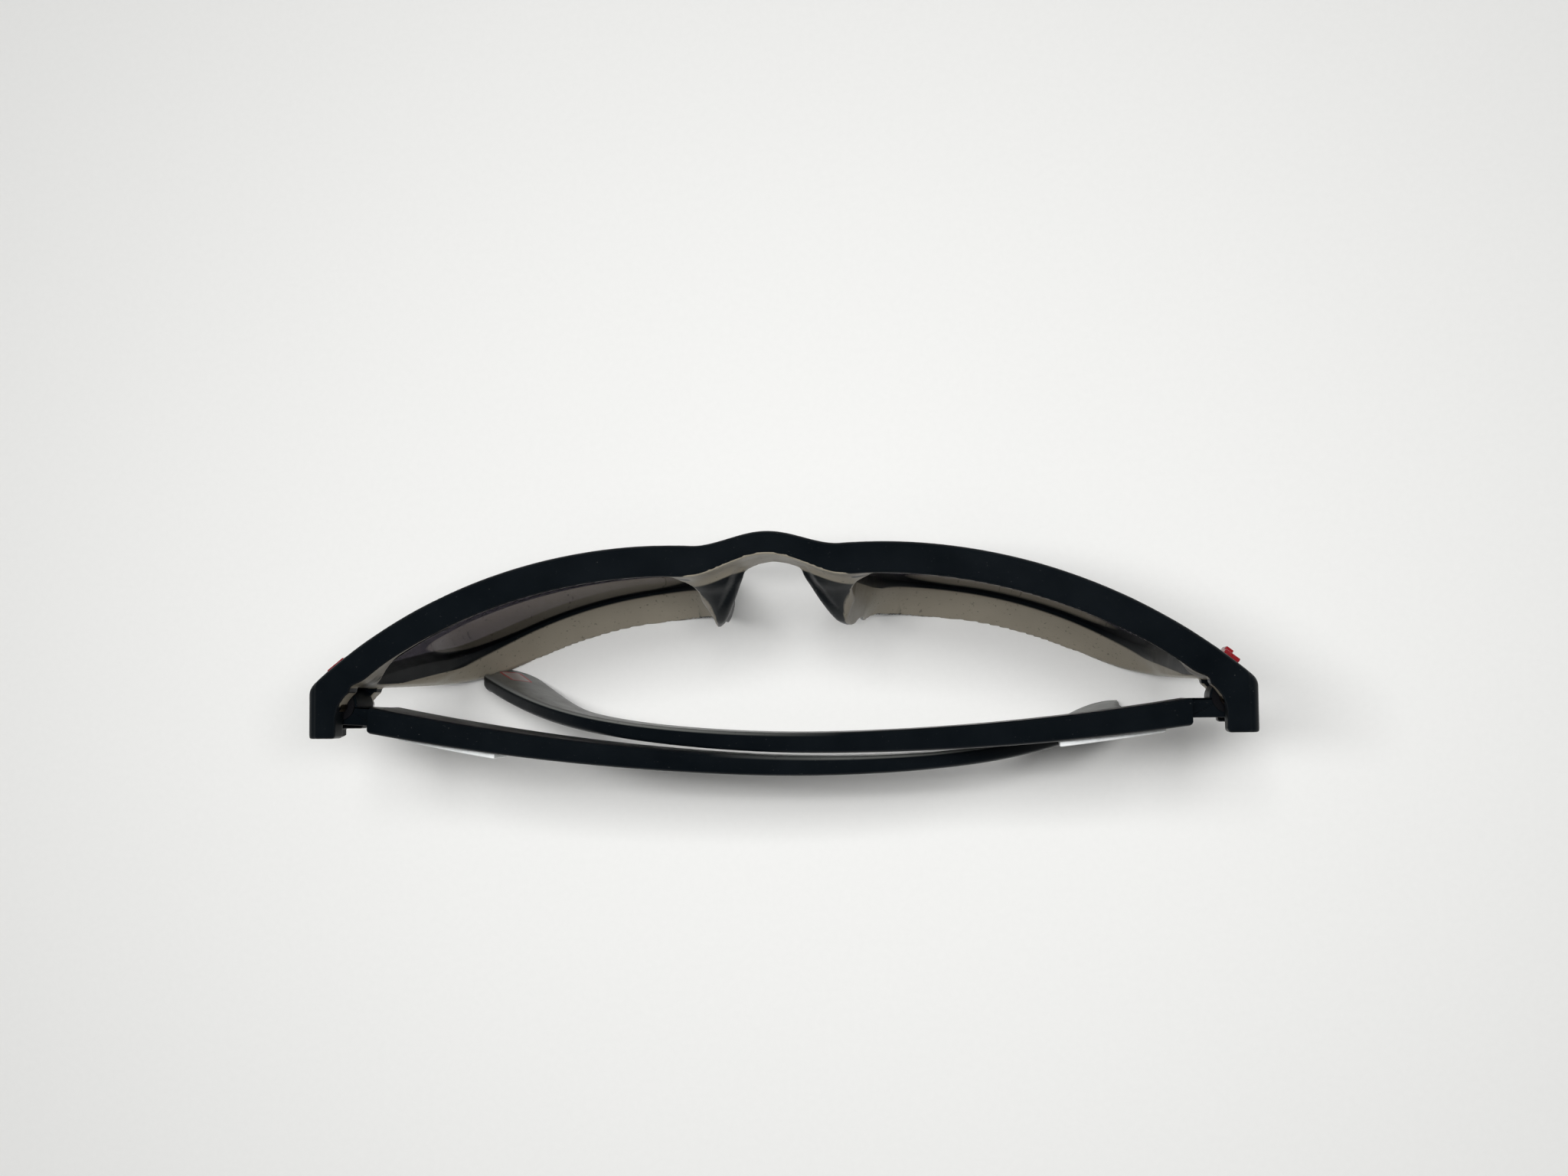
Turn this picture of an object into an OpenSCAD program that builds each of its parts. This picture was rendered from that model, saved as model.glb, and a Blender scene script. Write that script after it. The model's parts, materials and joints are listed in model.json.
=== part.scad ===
// Folded square-eyed sunglasses: a curved front with two lenses, and two hinged temples.
// X runs across the front, Y from the front towards the wearer, Z up. Millimetres and degrees.

/* [Front] */
// Width over the two end pieces
front_w = 138; // [134:1:142]
// Height from the lower rims to the top of the brow
front_h = 47; // [45:0.5:49]
// Radius of the front's curve, seen from above
face_r = 82; // [78:1:90]
// Where the crown of each half's curve lies, sideways from the middle
crown_x = 15; // [13:0.5:17]
// Depth of the brow, front to back
brow_t = 4.6; // [4.2:0.1:5]
// Lean of the back face below the brow: the rims get deeper towards the bottom
rear_lean = 5.8; // [5:0.1:6.4]
// Width of the rim outside the lens opening
rim_w = 4.2; // [3.8:0.1:4.6]
// How much lower the brow is at its outer ends
brow_fall = 1.6; // [0.5:0.1:2.5]
// How much lower the brow is over the nose
bridge_dip = 1.2; // [0.4:0.1:2]

/* [Bridge and nose pads] */
// How far the bridge stands in front of the two halves
bridge_out = 1.9; // [1.4:0.1:2.4]
// Depth of the bridge at its top, front to back
bridge_t = 3.4; // [3:0.1:4]
// Half the width of the bridge's hump
bridge_half = 11; // [10:0.5:12]
// Height of the bridge above the nose arch
bridge_h = 9.5; // [8:0.5:11]
// Radius of the nose arch
arch_r = 7.2; // [6:0.2:8]
// How far the nose pads reach back from the front
pad_back = 11.6; // [10:0.2:13]
// Thickness of a nose pad
pad_t = 2.4; // [2:0.1:3]
// Height of a nose pad
pad_h = 24; // [20:1:26]
// Distance of a pad's nose side from the middle, at its root
pad_from = 7.6; // [7.2:0.1:8.4]
// Splay of the nose pads, measured level
pad_splay = 11; // [8:1:16]
// Frontal angle of the nose pads
pad_lean = 17; // [12:1:22]

/* [Lens openings] */
// Inner edge of an opening from the middle, near the brow
eye_in = 11.6; // [11:0.1:12.2]
// Width of the front beside an eye opening, out to its end
side_w = 7.5; // [6.5:0.5:9]
// How much the opening narrows towards the bottom, on the nose side
eye_in_taper = 1.6; // [0.5:0.1:2.5]
// How much the opening narrows towards the bottom, on the outer side
eye_out_taper = 4; // [2:0.5:6]
// Height of the brow's front over the opening
brow_h = 5.7; // [5:0.1:6.5]
// Radius of the lower corner by the nose
eye_r_in_low = 13.3; // [11:0.1:15]
// Radius of the lower outer corner
eye_r_out_low = 11.5; // [9:0.1:13]
// Radius of the upper outer corner
eye_r_out_top = 5.6; // [4:0.1:8]
// Radius of the upper corner by the nose
eye_r_in_top = 6; // [4:0.1:8]
// Radius of the opening's gently crowned top edge
eye_r_top = 160; // [120:10:300]
// Flat sill behind the lens, before the ledge slopes down
sill_t = 1.3; // [1:0.1:1.8]
// Slope of the ledge behind the lens
ledge_slope = 40; // [30:1:48]

/* [Lenses] */
// Thickness of a lens
lens_t = 2; // [1.8:0.1:2.2]
// How far the middle of a lens lies behind the rim's front
lens_inset = 0.9; // [0.7:0.1:1.1]
// Radius of a lens's curve from top to bottom
lens_tall_r = 220; // [180:10:400]
// How far a lens reaches into its groove
lens_seat = 1; // [0.8:0.1:1.4]
// Clearance round a lens in its groove
lens_gap = 0.05; // [0.03:0.01:0.1]

/* [End pieces and hinges] */
// Height of an end piece
end_h = 13.9; // [13:0.1:15]
// Length of an end piece's side, back from the front's corner
end_len = 7.33; // [6:0.1:9]
// Width of an end piece's back face
end_wall = 4.5; // [4.2:0.1:4.8]
// How far ahead of the hinge axis the rims' back edge ends
skirt_ahead = 2.4; // [2.2:0.1:3]
// Radius that rounds off the rims' back edge, seen from above
skirt_r = 57; // [52:1:70]
// Radius inside the corner between brow and end piece
end_fillet = 5.2; // [4.6:0.1:5.4]
// Hinge axis, in from the outer face
axis_in = 3.95; // [3.8:0.05:4.1]
// Hinge axis, ahead of the end piece's back face
axis_ahead = 4.95; // [4.8:0.05:5.2]
// Radius of the hinge's barrel
barrel_r = 2.5; // [2.3:0.1:2.6]
// Offset of the tenon's outer side from the hinge axis
tenon_out = 2.9; // [2.7:0.05:3]
// Thickness of the roof over the hinge
roof_t = 3.2; // [2.9:0.1:3.6]
// Thickness of the floor under the hinge
floor_t = 3; // [2.6:0.1:3.4]
// How much further forward the floor ends than the roof
floor_short = 1.3; // [0.8:0.1:1.6]
// Clearance between the moving faces of the hinge
hinge_gap = 0.1; // [0.06:0.01:0.15]
// Thickness of a washer
washer_t = 0.3; // [0.2:0.05:0.5]
// Outer radius of a washer
washer_r = 2.2; // [1.8:0.1:2.4]
// Radius of the hinge screw's shank
screw_r = 0.75; // [0.6:0.05:0.9]
// Radius of the hinge screw's head
screw_head_r = 1.4; // [1.2:0.1:1.6]
// Height of the hinge screw's head
screw_head_h = 1; // [0.8:0.1:1.2]
// Outer radius of the threaded insert
insert_r = 1.2; // [1.1:0.05:1.3]
// Length of the threaded insert
insert_h = 2.3; // [2:0.1:2.5]
// Running clearance round the screw
screw_gap = 0.05; // [0.02:0.01:0.08]

/* [Temples] */
// Height of a temple at its hinge
temple_h = 12.4; // [11.5:0.1:13]
// Height of a temple in front of the ear bend
temple_mid_h = 8.8; // [8:0.1:10]
// Widest part of the paddle at the tip
paddle_h = 11.2; // [10:0.1:12]
// Thickness of a temple at its hinge
temple_t = 3.9; // [3.6:0.1:4.2]
// Thickness of a temple at its tip
tip_t = 2.6; // [2.4:0.1:3]
// Length of a temple from the hinge axis to the ear bend
arm_len = 83.2; // [80:0.4:86]
// Length of the tip past the ear bend
tip_len = 19.6; // [18:0.2:22]
// Radius of the ear bend
bend_r = 34; // [28:1:40]
// Angle of the ear bend
bend_angle = 42; // [38:1:46]
// Depth of the flat worn under a tip
tip_flat = 0.25; // [0.1:0.05:0.4]
// Outward splay of a temple's outer face at the hinge
temple_splay = 8.2; // [7:0.1:10]
// Radius of the temple's bow along its front half
bow_front_r = 372; // [340:4:420]
// Length of that front half
bow_front_len = 52.6; // [48:0.2:56]
// Radius of the temple's bow in front of the ear
bow_mid_r = 218; // [200:2:260]
// Length of that bow
bow_mid_len = 36; // [32:1:40]
// Radius of the temple's inward curve at the tip
bow_tip_r = 96; // [80:2:140]
// Gap between the folded temples where they come closest
stack_gap = 0.38; // [0.2:0.02:0.8]
// How far short of square the right temple is folded
right_fold = 0; // [0:0.1:0.3]

/* [Badges and studs] */
// Length of the white plate on a temple
badge_len = 15; // [12:1:18]
// Height of the white plate
badge_h = 6.4; // [5:0.1:7]
// Start of the white plate from the hinge axis
badge_from = 8.4; // [7.5:0.1:10]
// How far the plate stands proud at the hinge end
badge_proud = 0.35; // [0.2:0.05:0.5]
// How far the plate stands proud at its far end
badge_proud_far = 0.8; // [0.6:0.05:1]
// Depth of the recess under the plate
badge_seat = 0.4; // [0.3:0.05:0.6]
// Radius of the pegs behind plates and studs
peg_r = 0.8; // [0.6:0.05:1]
// Length of those pegs
peg_len = 1.6; // [1:0.1:2]
// Stud on the front's corner, along the surface
stud_w = 2.8; // [2.4:0.1:3.6]
// Height of the stud
stud_h = 9; // [7:0.5:10]
// How far the stud's bar stands out
stud_out = 1.1; // [0.8:0.1:1.4]
// How far the stud's block stands out
stud_block_out = 1.9; // [1.6:0.1:2.3]
// Centre of the stud from the front's end
stud_in = 3.6; // [3:0.1:5]

/* [Hidden] */
$fn = 96;
// Overrun of a cut past the face that it opens
over = 1;
// Overlap of two shapes that join
seam = 0.1;
// Reach of a cut that passes the whole front
reach = 2 * front_w;
// Steps in a rounded corner of an outline
corner_steps = 10;
// Steps across the bridge's hump
hump_steps = 22;
// Step along a temple's outlines
temple_step = 3;
half_w = front_w / 2;
eye_out = half_w - side_w;
stud_x = half_w - stud_in;

// Lens opening as corner circles [x, z, radius], counter-clockwise seen from behind
eye_top = front_h - brow_h;
eye_mid = (eye_in + eye_out) / 2;
eye_low = rim_w;
// Drop of the corner circles below the top arc's crown, as a share of the most that still lets them show
eye_drop_in_share = 0.85;
eye_drop_out_share = 0.409;
eye_drop_in = eye_drop_in_share * pow(eye_mid - eye_in - eye_r_in_top, 2) / (2 * (eye_r_top - eye_r_in_top));
eye_drop_out = eye_drop_out_share * pow(eye_out - eye_r_out_top - eye_mid, 2) / (2 * (eye_r_top - eye_r_out_top));
eye_circles = [
    [eye_in + eye_in_taper + eye_r_in_low, eye_low + eye_r_in_low, eye_r_in_low],
    [eye_out - eye_out_taper - eye_r_out_low, eye_low + eye_r_out_low, eye_r_out_low],
    [eye_out - eye_r_out_top, eye_top - eye_drop_out - eye_r_out_top, eye_r_out_top],
    [eye_mid, eye_top - eye_r_top, eye_r_top],
    [eye_in + eye_r_in_top, eye_top - eye_drop_in - eye_r_in_top, eye_r_in_top]];
eye_centre_z = (eye_low + eye_top) / 2;

// Where the sill ends at the lower edge, counted from the front's curve
eye_reach = eye_top - eye_centre_z;
lens_back_r = lens_tall_r - lens_t;
sill_back = lens_inset + lens_t + lens_back_r - sqrt(pow(lens_back_r, 2) - pow(eye_reach, 2)) + sill_t;

// Hinge places
end_back = curve_y(half_w, face_r) + end_len;
axis_x = half_w - axis_in;
axis_y = end_back - axis_ahead;
end_top = front_h - brow_fall;
end_low = end_top - end_h;
face_gap = hinge_gap / 4;
slot_low = end_low + floor_t;
slot_top = end_top - roof_t;
tenon_low = slot_low + washer_t + 2 * face_gap;
tenon_top = slot_top - washer_t - 2 * face_gap;
hinge_z = (end_low + end_top) / 2;
butt = axis_ahead + hinge_gap;

// Outward angle of the normal on the tangent from circle p to circle q
function tangent_angle(p, q) = atan2(q.y - p.y, q.x - p.x)
    - acos((p[2] - q[2]) / norm([q.x - p.x, q.y - p.y]));

// Turn from angle a on to angle b, counter-clockwise
function turn(a, b) = b - a - 360 * floor((b - a + tiny) / 360);
tiny = 0.0001;

// Outline round the corner circles c, grown by g
function ring(c, g) = [for (i = [0:len(c) - 1])
    let (p = c[i], b = c[(i + len(c) - 1) % len(c)], q = c[(i + 1) % len(c)],
        from = tangent_angle(b, p), arc = turn(from, tangent_angle(p, q)))
    for (k = [0:corner_steps]) let (a = from + arc * k / corner_steps)
        [p.x + (p[2] + g) * cos(a), p.y + (p[2] + g) * sin(a)]];

// The hump's back is this much wider than its front
bridge_back_share = 1.09;
// Where the two halves' own curves take over from the hump
hump_share = 1.16;
hump_reach = bridge_half * hump_share;
// The dip in the brow's top edge is this much wider than the hump
dip_share = 1.7;

// Bell that is 1 in the middle and 0 from the half width w outwards
function bell(x, w) = abs(x) >= w ? 0 : (1 + cos(180 * x / w)) / 2;

// Front and back faces of one half, seen from above, as y at x
function curve_y(x, r) = face_r - sqrt(pow(r, 2) - pow(abs(x) - crown_x, 2));
function front_y(x) = curve_y(x, face_r) - (curve_y(0, face_r) + bridge_out) * bell(x, bridge_half);
function back_y(x) = let (half = bridge_half * bridge_back_share)
    curve_y(x, face_r - brow_t) - (curve_y(0, face_r - brow_t) + bridge_out - bridge_t) * bell(x, half);

// Height of the brow's top edge at x
function brow_z(x) = front_h - bridge_dip * bell(x, bridge_half * dip_share)
    - (x < eye_mid ? 0 : brow_fall * pow((x - eye_mid) / (half_w - eye_mid), 2));

module both_sides() {
    children();
    mirror([1, 0, 0]) children();
}

// A flat shape drawn in X and Z, carried through the front's whole depth
module through_y() {
    translate([0, face_r, 0]) rotate([90, 0, 0]) linear_extrude(face_r + reach / 2) children();
}

// Everything behind a face of the front, seen from above
module behind_face(r, hump) {
    both_sides() intersection() {
        translate([crown_x, face_r]) circle(r);
        translate([hump_reach, -reach / 2]) square([front_w, 2 * reach]);
    }
    steps = hump_steps;
    polygon(concat([[hump_reach + seam, face_r], [-hump_reach - seam, face_r]],
        [for (k = [0:steps]) let (x = (2 * k / steps - 1) * hump_reach)
            [x, hump ? front_y(x) : back_y(x)]]));
}

// Rounding of the end pieces, seen from the front
end_corner = 1.4;
brow_steps = 30;

// Outline of the brow, the end pieces and the bridge, seen from the front
module brow_outline() {
    corner = end_corner;
    top = [for (k = [0:brow_steps]) let (x = (half_w - corner) * k / brow_steps) [x, brow_z(x)]];
    tip = [for (k = [0:corner_steps]) let (a = 90 - 90 * k / corner_steps)
        [half_w - corner + corner * cos(a), end_top + corner * (sin(a) - 1)]];
    low = [for (k = [0:corner_steps]) let (a = -90 * k / corner_steps)
        [half_w - corner + corner * cos(a), end_low + corner * (sin(a) + 1)]];
    both_sides() polygon(concat(top, tip, low,
        [[eye_out + rim_w / 2, end_low], [eye_out, eye_top], [eye_in, eye_top],
        [bridge_half, front_h - bridge_h - arch_r], [0, front_h - bridge_h - arch_r]]));
}

module front_outline() {
    difference() {
        union() {
            brow_outline();
            both_sides() polygon(ring(eye_circles, rim_w));
        }
        arch_z = front_h - bridge_dip - bridge_h - arch_r;
        translate([0, arch_z]) circle(arch_r);
        translate([-arch_r, -over]) square([2 * arch_r, arch_z + over]);
    }
}

// Cut that gives the front its back face: upright behind the brow, leaning below it, crossing at the eye's top
module back_cut() {
    intersection() {
        translate([0, 0, -over]) linear_extrude(front_h + 2 * over) behind_face(face_r - brow_t, false);
        translate([0, 0, eye_top]) rotate([rear_lean, 0, 0]) translate([0, 0, -reach / 2])
            linear_extrude(reach) behind_face(face_r - brow_t, false);
    }
}

// The rims and the brow, before the openings
module rims_and_brow() {
    difference() {
        intersection() {
            through_y() front_outline();
            linear_extrude(front_h) behind_face(face_r, true);
            linear_extrude(front_h) both_sides() union() {
                translate([half_w, axis_y - skirt_ahead - skirt_r]) circle(skirt_r);
                translate([-over, -reach / 2]) square([eye_circles[1].x + over, reach / 2 + axis_y]);
            }
        }
        back_cut();
    }
}

// Plan of one end piece, seen from above
module end_plan() {
    inner = half_w - end_wall;
    fillet_x = inner - end_fillet;
    fillet_y = end_back - end_fillet / 2;
    difference() {
        translate([fillet_x, 0]) square([half_w - fillet_x, end_back]);
        translate([fillet_x, fillet_y]) circle(end_fillet);
        translate([fillet_x - over, fillet_y]) square([end_fillet + over, end_back]);
    }
}

module end_pieces() {
    intersection() {
        through_y() front_outline();
        linear_extrude(front_h) behind_face(face_r, true);
        both_sides() translate([0, 0, end_low]) linear_extrude(front_h) end_plan();
    }
}

// One nose pad: a wedge that runs back from the rim's inner side to a rounded crest
module nose_pad() {
    root_y = brow_t / 2;
    pad_len = (pad_back - root_y) / cos(pad_splay);
    pad_mid = front_h - bridge_h - pad_h / 2;
    crest = pad_t / 2;
    intersection() {
        translate([pad_from, root_y, pad_mid]) rotate([0, -pad_lean, 0]) rotate([0, 0, -pad_splay])
            translate([0, 0, -pad_h]) linear_extrude(2 * pad_h) union() {
                polygon([[0, 0], [0, pad_len - crest], [crest, pad_len],
                    [pad_t, pad_len - crest], [pad_root, 0]]);
                translate([crest, pad_len - crest]) circle(crest);
            }
        translate([-over, 0, pad_mid]) rotate([90, 0, 90]) linear_extrude(eye_in + pad_root)
            polygon([for (s = pad_shares) [root_y + s[0] * (pad_back - root_y), s[1] * pad_h]]);
    }
}
// Width of a pad's root
pad_root = 8;
// Side of a pad: deepest below its middle, drawn back at both ends
pad_shares = [[-0.1, -0.5], [0.45, -0.5], [0.72, -0.44], [0.92, -0.32], [1, -0.16],
    [1, -0.02], [0.9, 0.14], [0.66, 0.3], [0.4, 0.42], [0.2, 0.5], [-0.1, 0.5]];

// Opening, groove and sloping ledge of one eye
module eye_cut() {
    through_y() polygon(ring(eye_circles, 0));
    intersection() {
        lens_shell(lens_gap);
        through_y() polygon(ring(eye_circles, lens_seat + lens_gap));
    }
    intersection() {
        translate([crown_x, face_r, eye_low - rim_w]) union() {
            cylinder(h = rim_w, r1 = ledge_r - ledge_run, r2 = ledge_r);
            translate([0, 0, rim_w - seam]) cylinder(h = over, r = ledge_r);
        }
        translate([eye_circles[0].x - seam, -reach / 2, -over])
            cube([eye_circles[1].x - eye_circles[0].x + 2 * seam, reach, eye_low + 2 * over]);
    }
    ledge_corner(eye_circles[0], -1);
    ledge_corner(eye_circles[1], 1);
}
ledge_r = face_r - sill_back;
// How far the ledge runs back on its way down to the rim's lower edge
ledge_run = rim_w / tan(ledge_slope);

// The ledge carried round a lower corner c of the opening, out on side 1 or in on side -1
module ledge_corner(c, side) {
    ends = [for (x = [c.x, c.x + side * c[2]]) [x, curve_y(x, ledge_r)]];
    lean = atan((ends[1].y - ends[0].y) / (ends[1].x - ends[0].x));
    intersection() {
        translate([c.x, ends[0].y, c.y]) rotate([0, 0, lean]) rotate([-90, 0, 0]) union() {
            cylinder(h = ledge_run, r1 = c[2], r2 = c[2] + rim_w);
            translate([0, 0, ledge_run]) cylinder(h = reach, r = c[2] + rim_w);
        }
        translate([side > 0 ? c.x - seam : c.x - reach + seam, -reach / 2, c.y - reach]) cube(reach);
    }
}

// Barrel-shaped shell of a lens, grown by g each way: an upright arc turned about the front's centre
module lens_shell(g) {
    arc_x = face_r - lens_inset - lens_tall_r;
    translate([crown_x, face_r, eye_centre_z]) rotate_extrude() intersection() {
        difference() {
            translate([arc_x, 0]) circle(lens_tall_r + g);
            translate([arc_x, 0]) circle(lens_back_r - g);
        }
        translate([face_r / 2, -front_h]) square([face_r, 2 * front_h]);
    }
}

// Slot, bores and pockets of one hinge in the end piece
module hinge_cut() {
    translate([axis_x, axis_y, slot_low]) {
        wide = tenon_out + hinge_gap;
        linear_extrude(slot_top - slot_low) union() {
            circle(wide);
            translate([-half_w / 2, -barrel_r - hinge_gap]) square([half_w / 2 + wide, reach]);
        }
    }
    translate([axis_x - half_w / 2, end_back - floor_short, end_low - over])
        cube([half_w / 2 + tenon_out + hinge_gap, reach, floor_t + 2 * over]);
    translate([axis_x, axis_y, end_low - over])
        cylinder(h = floor_t + 2 * over, r = screw_r + screw_gap);
    translate([axis_x, axis_y, end_low - over])
        cylinder(h = screw_head_h + over, r = screw_head_r + screw_gap);
    translate([axis_x, axis_y, slot_top - over]) cylinder(h = insert_h + over, r = insert_r);
}

module front_frame() {
    color([0.06, 0.07, 0.08]) difference() {
        union() {
            rims_and_brow();
            end_pieces();
            both_sides() nose_pad();
        }
        both_sides() eye_cut();
        both_sides() hinge_cut();
        both_sides() stud_place() stud_peg(over);
    }
}

module lens() {
    color([0.2, 0.18, 0.21, 0.8]) intersection() {
        lens_shell(0);
        through_y() polygon(ring(eye_circles, lens_seat));
    }
}

// Temple drawn along its length s: outer face t at s, from three bows after a short splay
slope_one = tan(temple_splay) - bow_front_len / bow_front_r;
slope_two = slope_one - bow_mid_len / bow_mid_r;
function outer_t(s) = let (u = max(s - butt, 0))
    u < bow_front_len ? axis_in + tan(temple_splay) * u - u * u / (2 * bow_front_r)
    : u < bow_front_len + bow_mid_len ? let (v = u - bow_front_len)
        outer_t(butt + bow_front_len - tiny) + slope_one * v - v * v / (2 * bow_mid_r)
    : let (v = u - bow_front_len - bow_mid_len)
        outer_t(butt + bow_front_len + bow_mid_len - tiny) + slope_two * v - v * v / (2 * bow_tip_r);
function thickness(s) = temple_t + (tip_t - temple_t) * min(max((s - butt) / arm_len, 0), 1);

// Side of a temple along its own middle line: straight arm, ear bend, tip
bend_len = bend_r * bend_angle * PI / 180;
path_len = arm_len + bend_len + tip_len;
function path_at(l) = l < arm_len ? [l, 0, 0]
    : l < arm_len + bend_len ? let (a = (l - arm_len) / bend_r * 180 / PI)
        [arm_len + bend_r * sin(a), -bend_r * (1 - cos(a)), a]
    : let (v = l - arm_len - bend_len)
        [arm_len + bend_r * sin(bend_angle) + v * cos(bend_angle),
        -bend_r * (1 - cos(bend_angle)) - v * sin(bend_angle), bend_angle];
// Heights along the path, as [share of the path, height]
tip_share = 0.94;
side_heights = [[0, temple_h], [0.12, temple_h], [0.46, temple_mid_h], [0.74, temple_mid_h],
    [0.91, paddle_h], [1, paddle_h * tip_share]];
function smooth(x) = x * x * (3 - 2 * x);
function height_at(l) = let (f = l / path_len,
        i = max([for (k = [0:len(side_heights) - 2]) side_heights[k][0] <= f ? k : 0]),
        a = side_heights[i], b = side_heights[i + 1])
    a[1] + (b[1] - a[1]) * smooth((f - a[0]) / (b[0] - a[0]));
function side_edge(up) = [for (l = [-temple_h:temple_step:path_len - paddle_h / 2])
    let (p = path_at(l), h = height_at(max(l, 0)) / 2)
    [p.x + up * h * sin(p[2]), p.y + up * h * cos(p[2])]];
function side_cap() = let (p = path_at(path_len - paddle_h / 2), h = height_at(path_len - paddle_h / 2) / 2)
    [for (k = [0:corner_steps * 2]) let (b = 90 - 90 * k / corner_steps)
        [p.x + h * (cos(b) * cos(p[2]) + sin(b) * sin(p[2])),
        p.y + h * (sin(b) * cos(p[2]) - cos(b) * sin(p[2]))]];
function reversed(v) = [for (k = [0:len(v) - 1]) v[len(v) - 1 - k]];
side_points = concat(side_edge(1), side_cap(), reversed(side_edge(-1)));
function lowest(a) = min([for (p = side_points) p.y * cos(a) - p.x * sin(a)]);
// Slope at which the tip comes down to what the part stands on
first_slope = 5;
slope_rounds = 12;
function find_slope(a, n) = n < 1 ? a
    : find_slope(a + (lowest(a) + hinge_z + tip_flat) / path_len * 180 / PI, n - 1);
temple_slope = find_slope(first_slope, slope_rounds);

// Plan of a temple, seen from above, with a round end where its side ends
temple_end = max([for (p = side_points) p.x * cos(temple_slope) + p.y * sin(temple_slope)]) - tip_t / 2;
plan_steps = 40;
stations = [for (k = [0:plan_steps]) butt + (temple_end - butt) * k / plan_steps];
end_turn = 90 + atan((outer_t(temple_end) - outer_t(temple_end - temple_step)) / temple_step);
end_mid = [temple_end, outer_t(temple_end)] - tip_t / 2 * [cos(end_turn), sin(end_turn)];
plan_points = concat([for (s = stations) if (s < temple_end) [s, outer_t(s)]],
    [for (k = [0:2 * corner_steps]) let (a = end_turn - 90 * k / corner_steps)
        end_mid + tip_t / 2 * [cos(a), sin(a)]],
    [for (s = reversed(stations)) if (s < temple_end - tip_t / 2) [s, outer_t(s) - thickness(s)]]);

// One temple, folded square to the front, its hinge axis at the origin
module temple_body() {
    difference() {
        union() {
            intersection() {
                rotate([90, 0, 0]) translate([0, 0, -half_w / 2]) linear_extrude(half_w)
                    translate([0, hinge_z]) rotate(-temple_slope) polygon(side_points);
                linear_extrude(front_h) polygon(plan_points);
            }
            translate([0, 0, tenon_low]) linear_extrude(tenon_top - tenon_low) union() {
                circle(barrel_r);
                translate([0, tenon_in]) square([butt + over, tenon_out - tenon_in]);
            }
        }
        translate([0, 0, tenon_low - over])
            cylinder(h = tenon_top - tenon_low + 2 * over, r = screw_r + screw_gap);
        badge_solid(true);
    }
}
tenon_in = axis_in - temple_t + hinge_gap;

// The badge, or its seat in the temple
module badge_solid(seat) {
    low = badge_z - badge_h / 2;
    along = [for (k = [0:badge_steps]) badge_from + badge_len * k / badge_steps];
    translate([0, 0, low]) linear_extrude(badge_h) polygon(concat(
        [for (s = along) [s, outer_t(s) - badge_seat]],
        [for (s = reversed(along)) [s, outer_t(s) + (seat ? over
            : badge_proud + (badge_proud_far - badge_proud) * (s - badge_from) / badge_len)]]));
    for (share = peg_shares) let (s = badge_from + badge_len * share)
        translate([s, outer_t(s) - badge_seat - peg_len, badge_z]) rotate([-90, 0, 0])
            cylinder(h = peg_len + badge_seat / 2, r = peg_r);
}
badge_steps = 5;
peg_shares = [0.2, 0.8];
badge_z = hinge_z - (badge_from + badge_len / 2) * tan(temple_slope);

// Puts a folded temple's pieces at the left hinge, or mirrored at the right one
module at_left(fold) {
    translate([axis_x, axis_y, 0]) rotate([0, 0, -fold]) mirror([1, 0, 0]) children();
}
module at_right(fold) { mirror([1, 0, 0]) at_left(fold) children(); }

module hinge_screw() {
    color([0.55, 0.56, 0.58]) difference() {
        union() {
            translate([axis_x, axis_y, end_low]) cylinder(h = screw_head_h, r = screw_head_r);
            translate([axis_x, axis_y, end_low])
                cylinder(h = slot_top + insert_h * screw_share - end_low, r = screw_r);
        }
        translate([axis_x - screw_head_r * driver_share, axis_y - screw_r / 4, end_low - over])
            cube([2 * screw_head_r * driver_share, screw_r / 2, over + screw_head_h / 2]);
    }
}
// How much of the insert's length the screw fills, and how wide its driver slot is
screw_share = 0.9;
driver_share = 0.62;

module screw_insert() {
    color([0.72, 0.58, 0.3]) difference() {
        translate([axis_x, axis_y, slot_top]) cylinder(h = insert_h, r = insert_r);
        translate([axis_x, axis_y, slot_top - over])
            cylinder(h = insert_h + 2 * over, r = screw_r + screw_gap);
    }
}

module hinge_washers() {
    color([0.85, 0.85, 0.82]) for (z = [slot_low + face_gap, tenon_top + face_gap])
        translate([axis_x, axis_y, z]) difference() {
            cylinder(h = washer_t, r = washer_r);
            translate([0, 0, -over]) cylinder(h = washer_t + 2 * over, r = screw_r + screw_gap);
        }
}

// Puts a stud on the left corner of the front, its outward direction along Z
module stud_place() {
    lean = asin((stud_x - crown_x) / face_r);
    translate([stud_x, curve_y(stud_x, face_r), hinge_z]) rotate([0, 0, lean]) rotate([90, 0, 0])
        children();
}
module stud_peg(extra) {
    translate([0, 0, -peg_len]) cylinder(h = peg_len + extra, r = peg_r);
}
module corner_stud() {
    color([0.7, 0.07, 0.12]) stud_place() union() {
        stud_peg(stud_out / 2);
        translate([-stud_w / 2, -stud_h / 2, 0]) cube([stud_w, stud_h, stud_out]);
        translate([-stud_w / 2, -stud_h / 4, 0]) cube([stud_w / 2, stud_h / 2, stud_block_out]);
    }
}

// How far short of square the left temple folds, to lie behind the right one with the gap between them
stack_shares = [0.1, 0.15, 0.2, 0.25, 0.3, 0.35, 0.4, 0.45, 0.5, 0.55, 0.6, 0.65, 0.7];
left_fold = max([for (share = stack_shares) let (s = 2 * axis_x * share)
    atan((outer_t(2 * axis_x - s) - outer_t(s) + thickness(s) + stack_gap) / s)]);

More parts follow.
